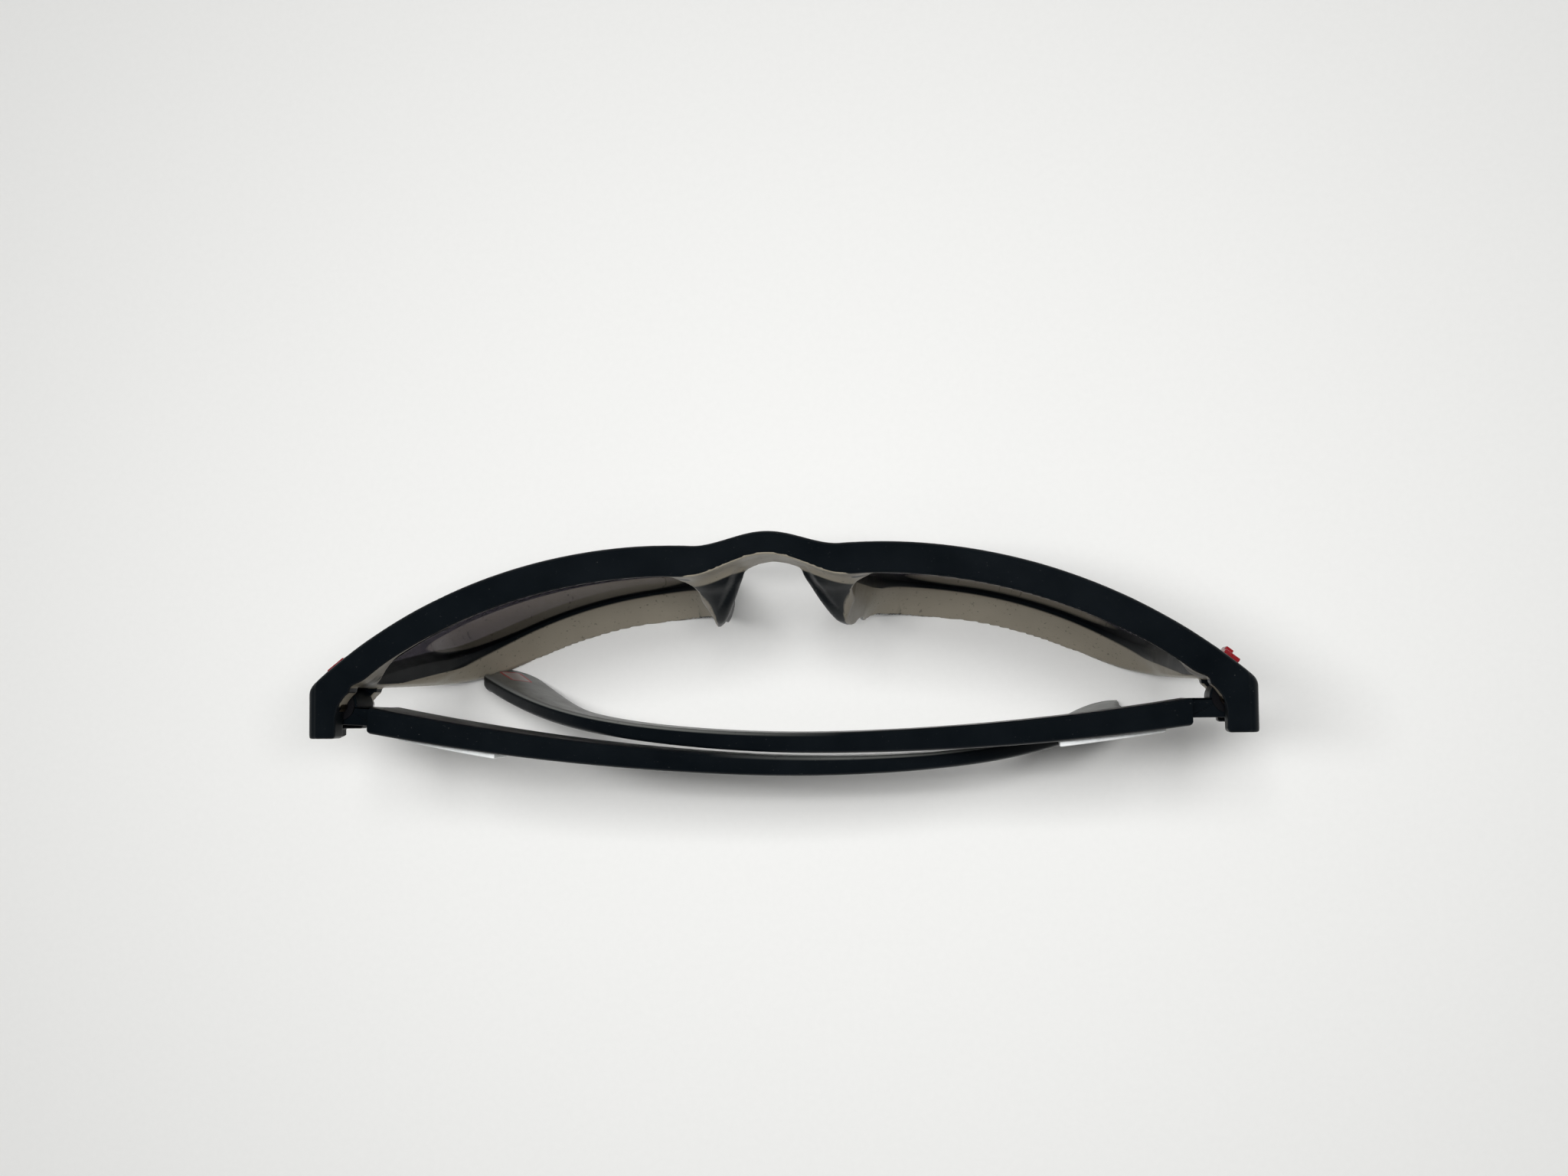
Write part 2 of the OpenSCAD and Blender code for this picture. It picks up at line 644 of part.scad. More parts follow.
// Depth of the part at rest, for an origin at the middle of its foot
function folded_y(fold, p) = axis_y + p.x * sin(fold) + p.y * cos(fold);
back_most = max([for (p = plan_points) folded_y(left_fold, p)]);
middle_y = (back_most - bridge_out) / 2;

module placed() { translate([0, -middle_y, 0]) children(); }

placed() front_frame();
placed() lens();  // lens_left
placed() mirror([1, 0, 0]) lens();  // lens_right
placed() color([0.05, 0.06, 0.08]) at_left(left_fold) temple_body();  // temple_left
placed() color([0.05, 0.06, 0.08]) at_right(right_fold) temple_body();  // temple_right
placed() hinge_screw();  // hinge_screw_left
placed() mirror([1, 0, 0]) hinge_screw();  // hinge_screw_right
placed() screw_insert();  // screw_insert_left
placed() mirror([1, 0, 0]) screw_insert();  // screw_insert_right
placed() hinge_washers();  // hinge_washers_left
placed() mirror([1, 0, 0]) hinge_washers();  // hinge_washers_right
placed() color([0.82, 0.83, 0.83]) at_left(left_fold) badge_solid(false);  // badge_left
placed() color([0.82, 0.83, 0.83]) at_right(right_fold) badge_solid(false);  // badge_right
placed() corner_stud();  // corner_stud_left
placed() mirror([1, 0, 0]) corner_stud();  // corner_stud_right
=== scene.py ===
"""Looks of a pair of sunglasses that stands on its rims with both arms folded.

The front, the arms, the lenses, the plates and the studs are worked out with numpy and stand
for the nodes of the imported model. Screws, inserts and washers stay as packed and get a finish.
Lengths in the shape functions are millimetres, x to the wearer's left, y to the back, z up,
with y counted from the front's foremost curve; a mesh is moved to the row frame at the end.
"""

import json
import math
from functools import partial

import bpy
import numpy as np
from bpy.props import FloatProperty, FloatVectorProperty, PointerProperty
from bpy.types import Operator, Panel, PropertyGroup
from mathutils import Matrix


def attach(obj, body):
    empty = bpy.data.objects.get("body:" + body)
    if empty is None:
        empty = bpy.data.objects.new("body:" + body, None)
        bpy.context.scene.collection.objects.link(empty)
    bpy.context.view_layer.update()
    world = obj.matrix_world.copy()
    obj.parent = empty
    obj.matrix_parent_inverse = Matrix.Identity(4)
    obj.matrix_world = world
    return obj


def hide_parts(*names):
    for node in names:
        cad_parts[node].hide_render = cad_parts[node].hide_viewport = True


bl_info = {
    "name": "Folded sunglasses",
    "version": (1, 0, 0),
    "blender": (4, 5, 0),
    "location": "View3D > Sidebar > Sunglasses",
    "description": "Builds the front, arms, lenses and fittings of folded sunglasses",
    "category": "Object",
}

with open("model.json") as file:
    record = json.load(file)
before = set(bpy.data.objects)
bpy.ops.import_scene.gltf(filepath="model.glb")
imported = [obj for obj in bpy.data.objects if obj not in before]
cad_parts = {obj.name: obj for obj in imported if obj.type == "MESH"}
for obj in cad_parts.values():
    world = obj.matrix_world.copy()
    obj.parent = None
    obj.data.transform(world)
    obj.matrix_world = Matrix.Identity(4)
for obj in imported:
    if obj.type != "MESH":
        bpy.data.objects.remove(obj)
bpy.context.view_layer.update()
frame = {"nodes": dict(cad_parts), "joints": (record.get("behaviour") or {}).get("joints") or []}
MM = 0.001

# Front, seen from the front and from above
FRONT_W, FRONT_H = 138.0, 47.0
HALF_W = FRONT_W / 2
FACE_R, CROWN_X, BROW_T, REAR_LEAN = 82.0, 15.0, 4.6, math.radians(5.8)
RIM_W, BROW_FALL, BRIDGE_DIP = 4.2, 1.6, 1.2
BRIDGE_OUT, BRIDGE_T, BRIDGE_HALF, BRIDGE_H, ARCH_R = 1.9, 3.4, 11.0, 9.5, 7.2
BRIDGE_BACK_SHARE, DIP_SHARE = 1.09, 1.7
SOFT_MIDDLE = 5.0
BACK_EDGE = 0.35
UNDERCUT, CUT_NEAR_SHARE, CUT_MORE_SHARE = 0.15, 0.6, 0.8

# Lens openings: their corner circles, and the ledge that slopes back from the sill
SIDE_W, BROW_H, IN_TAPER, OUT_TAPER = 7.5, 5.7, 1.6, 4.0
EYE_IN, EYE_OUT = 11.6, HALF_W - SIDE_W
EYE_LOW, EYE_TOP = RIM_W, FRONT_H - BROW_H
EYE_MID, EYE_MID_Z = (EYE_IN + EYE_OUT) / 2, (RIM_W + FRONT_H - BROW_H) / 2
TOP_R, IN_TOP_R, OUT_TOP_R, IN_LOW_R, OUT_LOW_R = 160.0, 6.0, 5.6, 13.3, 11.5
DROP_IN_SHARE, DROP_OUT_SHARE = 0.85, 0.409
DROP_IN = DROP_IN_SHARE * (EYE_MID - EYE_IN - IN_TOP_R) ** 2 / (2 * (TOP_R - IN_TOP_R))
DROP_OUT = DROP_OUT_SHARE * (EYE_OUT - OUT_TOP_R - EYE_MID) ** 2 / (2 * (TOP_R - OUT_TOP_R))
EYE_CIRCLES = (
    (EYE_IN + IN_TAPER + IN_LOW_R, EYE_LOW + IN_LOW_R, IN_LOW_R),
    (EYE_OUT - OUT_TAPER - OUT_LOW_R, EYE_LOW + OUT_LOW_R, OUT_LOW_R),
    (EYE_OUT - OUT_TOP_R, EYE_TOP - DROP_OUT - OUT_TOP_R, OUT_TOP_R),
    (EYE_MID, EYE_TOP - TOP_R, TOP_R),
    (EYE_IN + IN_TOP_R, EYE_TOP - DROP_IN - IN_TOP_R, IN_TOP_R),
)
LENS_T, LENS_INSET, LENS_TALL_R = 2.0, 0.9, 220.0
LENS_BACK_R = LENS_TALL_R - LENS_T
LENS_FACES = ((LENS_TALL_R, LENS_INSET), (LENS_BACK_R, LENS_INSET + LENS_T))
LENS_TOP_Y = math.sqrt(LENS_BACK_R**2 - (EYE_TOP - EYE_MID_Z) ** 2)
SILL_T, SILL_CUT, SILL_LINE = 1.3, 0.9, 0.6
LEDGE_R = FACE_R - (LENS_INSET + LENS_T + LENS_BACK_R - LENS_TOP_Y + SILL_T)
LEDGE_SLOPE, NOSE_SLOPE, OUTER_SLOPE = (math.radians(a) for a in (40.0, 16.0, 56.0))
OUTER_BACK, TOP_INSET = 1.3, 2.5

# Bands over which the ledge and the front's back ease from one form to the next
LEDGE_LOW, LEDGE_NOSE = (6.0, 17.0), (17.0, 27.0)
NOSE_TOP, OUTER_TOP = (28.0, 38.0), (24.0, 33.0)
MIDDLE_IN, MIDDLE_OUT, MIDDLE_UP = (22.0, 30.0), (40.0, 47.0), (14.0, 20.0)
ROOT_IN, ROOT_OUT, ROOT_UP = (8.5, 12.5), (15.0, 28.0), (20.0, 33.0)
CUT_IN, CUT_OUT, CUT_UP, CUT_GROWS = (12.5, 16.0), (56.0, 61.0), (38.0, 40.5), (20, 55)
BACK_BAND, PAD_FOOT = (2.0, 3.0), (0.5, 2.5)

# Roundings of the front's inner edges and corners
ROUND = {
    "rim_join": 1.2, "arch": 0.4, "skirt": 0.8, "end": 0.5, "end_join": 0.7, "pad_side": 1.0,
    "pad_root": 0.3, "pad_join": 0.8, "eye": 0.4, "ledge": 0.5, "slot": 0.35, "step": 0.3, "pocket": 0.2,
}

# Bounds of the front's paler colour: partly the moulding's own two-tone, partly a painted reflection of the
# pale room on faces that look back and into the openings
LINING_SHEEN_NOSE_X, LINING_SHEEN_NOSE_DEPTH, LINING_SHEEN_NOSE_Z = 17.0, 0.9, 39.5
LINING_SHEEN_END_X, LINING_SHEEN_END_DEPTH, LINING_SHEEN_END_Z = 58.0, 0.8, 30.5
LINING_SHEEN_BRIDGE_X, LINING_SHEEN_BROW_Z, LINING_SHEEN_INNER_Z = 12.0, 40.0, 39.0
LINING_SHEEN_FADE, INNER_FADE = 2, 4
FACING_BACK, FACING_IN, FACING_UP = 0.4, 0.1, 0.05

# Nose pads
PAD_BACK, PAD_T, PAD_H, PAD_FROM, PAD_ROOT = 11.6, 2.4, 24.0, 7.6, 8.0
PAD_SPLAY, PAD_LEAN = math.radians(11.0), math.radians(17.0)
NOSE_SWELL = 3.2
PAD_SIDE = (
    (-0.1, -0.5), (0.45, -0.5), (0.72, -0.44), (0.92, -0.32), (1.0, -0.16), (1.0, -0.02),
    (0.9, 0.14), (0.66, 0.3), (0.4, 0.42), (0.2, 0.5), (-0.1, 0.5),
)

# End pieces and hinges
END_LEN, END_H, END_WALL, END_FILLET, END_CORNER = 7.33, 13.9, 4.5, 5.2, 1.4
END_SWEEP, END_NIB, PLAN_AHEAD, PLAN_PAST = math.radians(55), 0.5, 6.0, 8
AXIS_IN, AXIS_AHEAD, ROOF_T, FLOOR_T, FLOOR_SHORT, FLOOR_CUT = 3.95, 4.95, 3.2, 3.0, 1.3, 0.5
END_BACK = FACE_R - math.sqrt(FACE_R**2 - (HALF_W - CROWN_X) ** 2) + END_LEN
AXIS_X, AXIS_Y = HALF_W - AXIS_IN, END_BACK - AXIS_AHEAD
END_TOP = FRONT_H - BROW_FALL
END_LOW = END_TOP - END_H
SKIRT_AHEAD, SKIRT_R, SKIRT_SHARE = 2.4, 57.0, 0.5
SLOT_LOW, SLOT_TOP = END_LOW + FLOOR_T, END_TOP - ROOF_T
BARREL_R, TENON_OUT, HINGE_GAP, WASHER_T = 2.5, 2.9, 0.1, 0.3
TENON_ROUND, TENON_INTO, TENON_CLEAR = 0.25, 0.6, 0.3
SCREW_POCKET_R, SCREW_POCKET_H = 1.45, 1.0
TENON_LOW, TENON_TOP = SLOT_LOW + WASHER_T + HINGE_GAP / 2, SLOT_TOP - WASHER_T - HINGE_GAP / 2
HINGE_Z = (END_LOW + END_TOP) / 2

# Arms
TEMPLE_T, TIP_T, ARM_LEN, TIP_LEN, BEND_R = 3.9, 2.6, 83.2, 20.6, 34.0
BEND_ANGLE, TEMPLE_SLOPE = math.radians(42.0), math.radians(7.57975)
SPLAY, BOW_R, BOW_LEN = math.tan(math.radians(8.2)), (372.0, 218.0, 96.0), (52.6, 36.0)
BUTT = AXIS_AHEAD + HINGE_GAP
BEND_LEN = BEND_R * BEND_ANGLE
PATH_LEN = ARM_LEN + BEND_LEN + TIP_LEN
SIDE_HEIGHTS = ((0, 0.12, 0.46, 0.74, 0.91, 1), (12.4, 12.4, 8.8, 8.8, 11.2, 11.2 * 0.94))
TIP_LEAN = math.tan(math.radians(11.0))
LEAN_BAND, ROUND_BAND, SQUARE_LEN = (PATH_LEN - 32, PATH_LEN - 9), (60, 105), 14
CAP_BACK, ARM_STEP, ARM_START = 5.6, 1.2, BUTT / math.cos(TEMPLE_SLOPE)
QUARTER = np.linspace(0, math.pi / 2, 7)

# The row frame's middle and the left arm's folded angle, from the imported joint
LEFT_JOINT = next(j for j in frame["joints"] if j["name"] == "arm_left_fold")
MIDDLE_Y = AXIS_Y - LEFT_JOINT["pos_m"][1] / MM
LEFT_FOLD = math.radians(90 - LEFT_JOINT["range_deg"][1])
SIDES = (("left", 1, LEFT_FOLD), ("right", -1, 0.0))

# Blank label inside an arm's tip
LABEL_FROM_TIP, LABEL_LEN, LABEL_H, LABEL_R, LABEL_LINE = 5.3, 5.6, 4.0, 0.7, 0.4
LABEL_FACING = 0.7

# Plates and studs
BADGE_FROM, BADGE_LEN, BADGE_H, BADGE_SEAT = 8.4, 15.0, 6.4, 0.4
BADGE_PROUD, BADGE_PROUD_FAR = 0.5, 0.85
STUD_X, STUD_W, STUD_H, STUD_OUT, STUD_BLOCK_OUT = HALF_W - 3.6, 2.5, 9.0, 0.8, 1.4
STUD_SEAT, STUD_BLOCK_SEAT = 0.4, 0.3

# Grids on which the front's outlines and its surface are worked out, and the steps that take slopes
HALF_GRID = ((-3, -3), (72, 50), 0.15)
PLAN_GRID = ((50, -4), (73, 31), 0.1)
PAD_GRID = ((-3, 10), (15, 42), 0.1)
GRID_AHEAD, GRID_UNDER, GRID_PAST = 1.3, 0.9, 1.0
CURVE_STEP, SETTLE_STEP, NORMAL_STEP = 0.05, 0.02, 0.08
SETTLE_ROUNDS, LEAST_SLOPE = 4, 0.05
CORNERS = [(i, j, k) for i in (0, 1) for j in (0, 1) for k in (0, 1)]

# Lamps: place, target, size and power; camera: place and turn from straight down, found on the photograph
OVER_INSIDE = (6.0 - MIDDLE_Y) * MM
LAMPS = {
    "key": ((0.0, -1.0, 3.9), (0, 0, 0), (1.6, 0.9), 74.0),
    "soft": ((0.0, 0.2, 4.0), (0, 0, 0), (2.2, 2.2), 12.0),
    "strip": ((0.0, OVER_INSIDE, 0.27), (0.0, OVER_INSIDE, 0.0), (0.16, 0.03), 0.40),
}
CAMERA_PLACE = (-0.0337, (21.62 - MIDDLE_Y) * MM, 0.2939)
CAMERA_TURN = np.radians([-3.43, -7.14, 0.80])
FOCAL_PIXELS, IMAGE_W, SENSOR_W = 2277, 2048, 36
CAMERA_LENS = FOCAL_PIXELS / IMAGE_W * SENSOR_W
FLOOR_REACH, FLOOR_DROP = 4.0, 0.00005


# Curves of the part


def curve_y(x, r):
    """Depth of the circle of radius r round the centre of one half's curve, mirrored at the middle."""
    side = np.where(np.abs(x) < SOFT_MIDDLE, (x * x / SOFT_MIDDLE + SOFT_MIDDLE) / 2, np.abs(x))
    return FACE_R - np.sqrt(r * r - (side - CROWN_X) ** 2)


def bell(x, w):
    """One in the middle, nothing from w outwards, a cosine between."""
    return np.where(np.abs(x) >= w, 0.0, (1 + np.cos(math.pi * x / w)) / 2)


def front_y(x):
    """Depth of the front's face at x: the half's circle less the bridge's hump."""
    return curve_y(x, FACE_R) - (curve_y(0, FACE_R) + BRIDGE_OUT) * bell(x, BRIDGE_HALF)


def back_y(x):
    """Depth of the brow's back at x: a smaller circle less a hump a little wider."""
    hump = curve_y(0, FACE_R - BROW_T) + BRIDGE_OUT - BRIDGE_T
    return curve_y(x, FACE_R - BROW_T) - hump * bell(x, BRIDGE_HALF * BRIDGE_BACK_SHARE)


def brow_z(x):
    """Height of the brow's top at x: level, dipped at the bridge, falling off as a square outwards."""
    fall = BROW_FALL * (np.maximum(x - EYE_MID, 0) / (HALF_W - EYE_MID)) ** 2
    return FRONT_H - BRIDGE_DIP * bell(x, BRIDGE_HALF * DIP_SHARE) - fall


def ring(circles, grow, steps):
    """Outline round corner circles, grown: arcs from one common tangent's normal to the next's."""
    points = []
    count = len(circles)
    normals = []
    for i in range(count):
        p, q = circles[i], circles[(i + 1) % count]
        span = math.hypot(q[0] - p[0], q[1] - p[1])
        normals.append(math.atan2(q[1] - p[1], q[0] - p[0]) - math.acos((p[2] - q[2]) / span))
    for i in range(count):
        start, end = normals[i - 1], normals[i]
        sweep = (end - start + 1e-6) % (2 * math.pi)
        angle = start + sweep * np.linspace(0, 1, steps + 1)
        x, z, r = circles[i]
        points.append(np.stack([x + (r + grow) * np.cos(angle), z + (r + grow) * np.sin(angle)], 1))
    return np.concatenate(points)


def outer_t(s):
    """Outward offset of an arm's outer face at s along it: a splayed start and three bows in turn."""
    u = np.maximum(s - BUTT, 0.0)
    first, second = BOW_LEN
    slope_one = SPLAY - first / BOW_R[0]
    slope_two = slope_one - second / BOW_R[1]
    at_one = AXIS_IN + SPLAY * first - first**2 / (2 * BOW_R[0])
    at_two = at_one + slope_one * second - second**2 / (2 * BOW_R[1])
    v, w = u - first, u - first - second
    near = AXIS_IN + SPLAY * u - u**2 / (2 * BOW_R[0])
    middle = at_one + slope_one * v - v**2 / (2 * BOW_R[1])
    far = at_two + slope_two * w - w**2 / (2 * BOW_R[2])
    return np.where(u < first, near, np.where(v < second, middle, far))


def thickness(s):
    """An arm's thickness, falling evenly from the hinge to the tip."""
    return TEMPLE_T + (TIP_T - TEMPLE_T) * np.clip((s - BUTT) / ARM_LEN, 0, 1)


def arm_height(l):
    """An arm's height at l along its path, eased between the listed stations."""
    share, height = (np.array(v, float) for v in SIDE_HEIGHTS)
    f = np.clip(l / PATH_LEN, 0, 1)
    i = np.clip(np.searchsorted(share, f, side="right") - 1, 0, len(share) - 2)
    t = (f - share[i]) / (share[i + 1] - share[i])
    return height[i] + (height[i + 1] - height[i]) * t * t * (3 - 2 * t)


def arm_path(l):
    """Middle of an arm's side at l: straight, a bend of one radius, straight again; and the turn."""
    turn = np.clip((l - ARM_LEN) / BEND_R, 0, BEND_ANGLE)
    rest = np.maximum(l - ARM_LEN - BEND_LEN, 0)
    along = np.minimum(l, ARM_LEN) + BEND_R * np.sin(turn) + rest * math.cos(BEND_ANGLE)
    up = -BEND_R * (1 - np.cos(turn)) - rest * math.sin(BEND_ANGLE)
    return along, up, turn


# Distances and how they are combined


def polygon_distance(u, v, outline):
    """Distance to the nearest side of a closed outline, negative inside by the crossing rule."""
    best = np.full(np.broadcast(u, v).shape, np.inf)
    inside = np.zeros(best.shape, bool)
    for (ax, ay), (bx, by) in zip(outline, np.roll(outline, -1, axis=0)):
        ex, ey = bx - ax, by - ay
        length = ex * ex + ey * ey
        if length < 1e-14:
            continue
        wx, wy = u - ax, v - ay
        share = np.clip((wx * ex + wy * ey) / length, 0, 1)
        best = np.minimum(best, (wx - ex * share) ** 2 + (wy - ey * share) ** 2)
        if abs(ey) > 1e-12:
            inside ^= ((ay <= v) != (by <= v)) & (u < ax + (v - ay) / ey * ex)
    return np.where(inside, -1.0, 1.0) * np.sqrt(best)


class Table:
    """A flat distance worked out once on a fine grid and read back between its four nearest points."""

    def __init__(self, measure, low, high, step):
        self.low, self.step = low, step
        count = [int(math.ceil((b - a) / step)) + 1 for a, b in zip(low, high)]
        u = low[0] + step * np.arange(count[0])[:, None]
        v = low[1] + step * np.arange(count[1])[None, :]
        self.values = measure(u, v)
        self.count = count

    def __call__(self, u, v):
        a = np.clip((u - self.low[0]) / self.step, 0, self.count[0] - 1.001)
        b = np.clip((v - self.low[1]) / self.step, 0, self.count[1] - 1.001)
        a, b = np.broadcast_arrays(a, b)
        i, k = a.astype(int), b.astype(int)
        p, q = a - i, b - k
        t = self.values
        near = t[i, k] * (1 - q) + t[i, k + 1] * q
        far = t[i + 1, k] * (1 - q) + t[i + 1, k + 1] * q
        return near * (1 - p) + far * p


def meet(a, b, r):
    """What two shapes share, with the edge between them rounded to r."""
    return np.minimum(-r, np.maximum(a, b)) + np.hypot(np.maximum(r + a, 0), np.maximum(r + b, 0))


def join(a, b, r):
    """Two shapes together, with the corner between them filled to r."""
    return np.maximum(r, np.minimum(a, b)) - np.hypot(np.maximum(r - a, 0), np.maximum(r - b, 0))


def ease(x, low, high):
    """Nothing below low, one above high, eased between."""
    t = np.clip((x - low) / (high - low), 0, 1)
    return t * t * (3 - 2 * t)


# Outlines of the front


def brow_points():
    """Outline of brow, end pieces and bridge seen from the front, both halves."""
    x = np.linspace(0, HALF_W - END_CORNER, 41)
    turn = np.linspace(math.pi / 2, 0, 9)
    tip = np.stack([
        HALF_W - END_CORNER + END_CORNER * np.cos(turn),
        END_TOP + END_CORNER * (np.sin(turn) - 1),
    ], 1)
    low = np.stack([tip[::-1, 0], END_LOW + END_CORNER * (1 - np.sin(turn[::-1]))], 1)
    inner = np.array([
        (EYE_OUT + RIM_W / 2, END_LOW), (EYE_OUT, EYE_TOP), (EYE_IN, EYE_TOP),
        (BRIDGE_HALF, FRONT_H - BRIDGE_H - ARCH_R), (0, FRONT_H - BRIDGE_H - ARCH_R),
    ])
    half = np.concatenate([np.stack([x, brow_z(x)], 1), tip, low, inner])
    return np.concatenate([half, half[-2:0:-1] * (-1, 1)])


def front_outline(u, v):
    """Distance to the front's outline: the brow joined with the grown opening, less the nose arch."""
    brow = polygon_distance(u, v, brow_points())
    rims = polygon_distance(u, v, ring(EYE_CIRCLES, 0, 16)) - RIM_W
    arch_z = FRONT_H - BRIDGE_DIP - BRIDGE_H - ARCH_R
    arch = np.where(v > arch_z, np.hypot(u, v - arch_z), np.abs(u)) - ARCH_R
    return meet(join(brow, rims, ROUND["rim_join"]), -arch, ROUND["arch"])


def end_plan():
    """Plan of an end piece: its outer block and the fillet that runs into the brow's back."""
    inner = HALF_W - END_WALL
    centre = (inner - END_FILLET, END_BACK - END_FILLET / 2)
    turn = np.linspace(0, -END_SWEEP, 14)
    arc = np.stack([centre[0] + END_FILLET * np.cos(turn), centre[1] + END_FILLET * np.sin(turn)], 1)
    soft = np.linspace(math.pi / 2, math.pi, 6)
    corner = np.stack([
        inner + END_NIB + END_NIB * np.cos(soft),
        END_BACK - END_NIB + END_NIB * np.sin(soft),
    ], 1)
    past = HALF_W + PLAN_PAST
    outer = [(arc[-1, 0], -PLAN_AHEAD), (past, -PLAN_AHEAD), (past, END_BACK)]
    return np.concatenate([outer, corner, arc])


def pad_side():
    """Side of a nose pad, its corners drawn into one smooth line by passing a curve through them."""
    root = BROW_T / 2
    middle = FRONT_H - BRIDGE_H - PAD_H / 2
    p = np.array([(root + a * (PAD_BACK - root), middle + b * PAD_H) for a, b in PAD_SIDE])
    ends = np.concatenate([[2 * p[0] - p[1]], p, [2 * p[-1] - p[-2]]])
    t = np.linspace(0, 1, 6, endpoint=False)[:, None]
    parts = []
    for a, b, c, d in zip(ends, ends[1:], ends[2:], ends[3:]):
        parts.append(b + 0.5 * t * (c - a + t * (2 * a - 5 * b + 4 * c - d + t * (3 * (b - c) + d - a))))
    return np.concatenate(parts + [p[-1:]])


def front_tables():
    """The four flat distances that the front is made of."""
    return {
        "eye": Table(partial(polygon_distance, outline=ring(EYE_CIRCLES, 0, 24)), *HALF_GRID),
        "outline": Table(front_outline, *HALF_GRID),
        "plan": Table(partial(polygon_distance, outline=end_plan()), *PLAN_GRID),
        "pad": Table(partial(polygon_distance, outline=pad_side()), *PAD_GRID),
    }


def steepness(curve, x):
    """Share of a depth difference that is distance, on a curve seen from above."""
    slope = (curve(x + CURVE_STEP) - curve(x - CURVE_STEP)) / (2 * CURVE_STEP)
    return 1 / np.sqrt(1 + slope * slope)


def ledge_distance(eye, x, y, z):
    """Distance to the cone that slopes back from an opening's sill. Its slope is the ledge's low down,
    and above it eases from the nose's to the outer side's, where it also starts further back. Near the
    top, and sooner beside the nose and outside, the cone gives way to a wall inside the opening."""
    low = 1 - ease(z, *LEDGE_LOW)
    nose = 1 - ease(x, *LEDGE_NOSE)
    slope = low * LEDGE_SLOPE + (1 - low) * (nose * NOSE_SLOPE + (1 - nose) * OUTER_SLOPE)
    top = nose * ease(z, *NOSE_TOP) + (1 - nose) * ease(z, *OUTER_TOP)
    middle = ease(x, *MIDDLE_IN) * (1 - ease(x, *MIDDLE_OUT)) * ease(z, *MIDDLE_UP)
    top = np.maximum(top, middle)
    behind = LEDGE_R + SILL_CUT - np.hypot(x - CROWN_X, y - FACE_R) - OUTER_BACK * (1 - low) * (1 - nose)
    return (eye - behind * np.tan(slope) * (1 - top) + TOP_INSET * top) * np.cos(slope)


def rims_distance(x, y, z):
    """Distance to the back of brow and rims: leaning on the rims, swollen beside the nose, undercut over
    the lenses, and kept ahead of the hinge by an upright, curved skirt."""
    square = steepness(back_y, x)
    upright = (y - back_y(x)) * square
    leaning = (y * math.cos(REAR_LEAN) + (z - EYE_TOP) * math.sin(REAR_LEAN) - back_y(x)) * square
    root = ease(x, *ROOT_IN) * (1 - ease(x, *ROOT_OUT)) * (1 - ease(z, *ROOT_UP))
    over_lens = ease(x, *CUT_IN) * (1 - ease(x, *CUT_OUT)) * ease(z, *CUT_UP)
    undercut = UNDERCUT * (CUT_NEAR_SHARE + CUT_MORE_SHARE * ease(x, *CUT_GROWS)) * (FRONT_H - z) * square
    back = np.minimum(upright, leaning)
    back = back + over_lens * (upright + undercut - back) - NOSE_SWELL * root
    skirt = np.hypot(x - HALF_W, y - (AXIS_Y - SKIRT_AHEAD - SKIRT_R)) - SKIRT_R
    skirt = skirt - SKIRT_SHARE * np.maximum(EYE_CIRCLES[1][0] - x, 0)
    return meet(back, skirt, ROUND["skirt"])


def pad_distance(side, x, y, z):
    """Distance to a nose pad, a wedge that leans and splays away from the nose inside the outline of its
    side; and how far across the wedge a point lies."""
    dx, dy, dz = x - PAD_FROM, y - BROW_T / 2, z - (FRONT_H - BRIDGE_H - PAD_H / 2)
    level = dx * math.cos(PAD_LEAN) + dz * math.sin(PAD_LEAN)
    across = level * math.cos(PAD_SPLAY) - dy * math.sin(PAD_SPLAY)
    deep = level * math.sin(PAD_SPLAY) + dy * math.cos(PAD_SPLAY)
    reach = (PAD_BACK - BROW_T / 2) / math.cos(PAD_SPLAY)
    far = PAD_T + (PAD_ROOT - PAD_T) * (reach - PAD_T / 2 - deep) / (reach - PAD_T / 2)
    wedge = meet(-across, (across - far) * math.cos(math.atan2(PAD_ROOT - PAD_T, reach)), PAD_T / 2)
    wedge = meet(wedge, deep - reach, PAD_T / 2)
    return meet(meet(wedge, side(y, z), ROUND["pad_side"]), -deep, ROUND["pad_root"]), across


def cut_hinge(body, x, y, z):
    """The body less the slot for an arm's tenon, the step behind its floor and the screw's pocket."""
    bore = np.hypot(x - AXIS_X, y - AXIS_Y)
    outer = x - AXIS_X - TENON_OUT - HINGE_GAP
    box = np.maximum(outer, AXIS_Y - BARREL_R - HINGE_GAP - y)
    plan = np.minimum(bore - TENON_OUT - HINGE_GAP, box)
    slot = np.maximum(plan, np.maximum(z - SLOT_TOP, SLOT_LOW - z))
    body = meet(body, -slot, ROUND["slot"])
    step = np.maximum(outer, END_BACK - FLOOR_SHORT - y)
    body = meet(body, -np.maximum(step, z - SLOT_LOW - FLOOR_CUT), ROUND["step"])
    pocket = np.maximum(bore - SCREW_POCKET_R, z - END_LOW - SCREW_POCKET_H)
    return meet(body, -pocket, ROUND["pocket"])


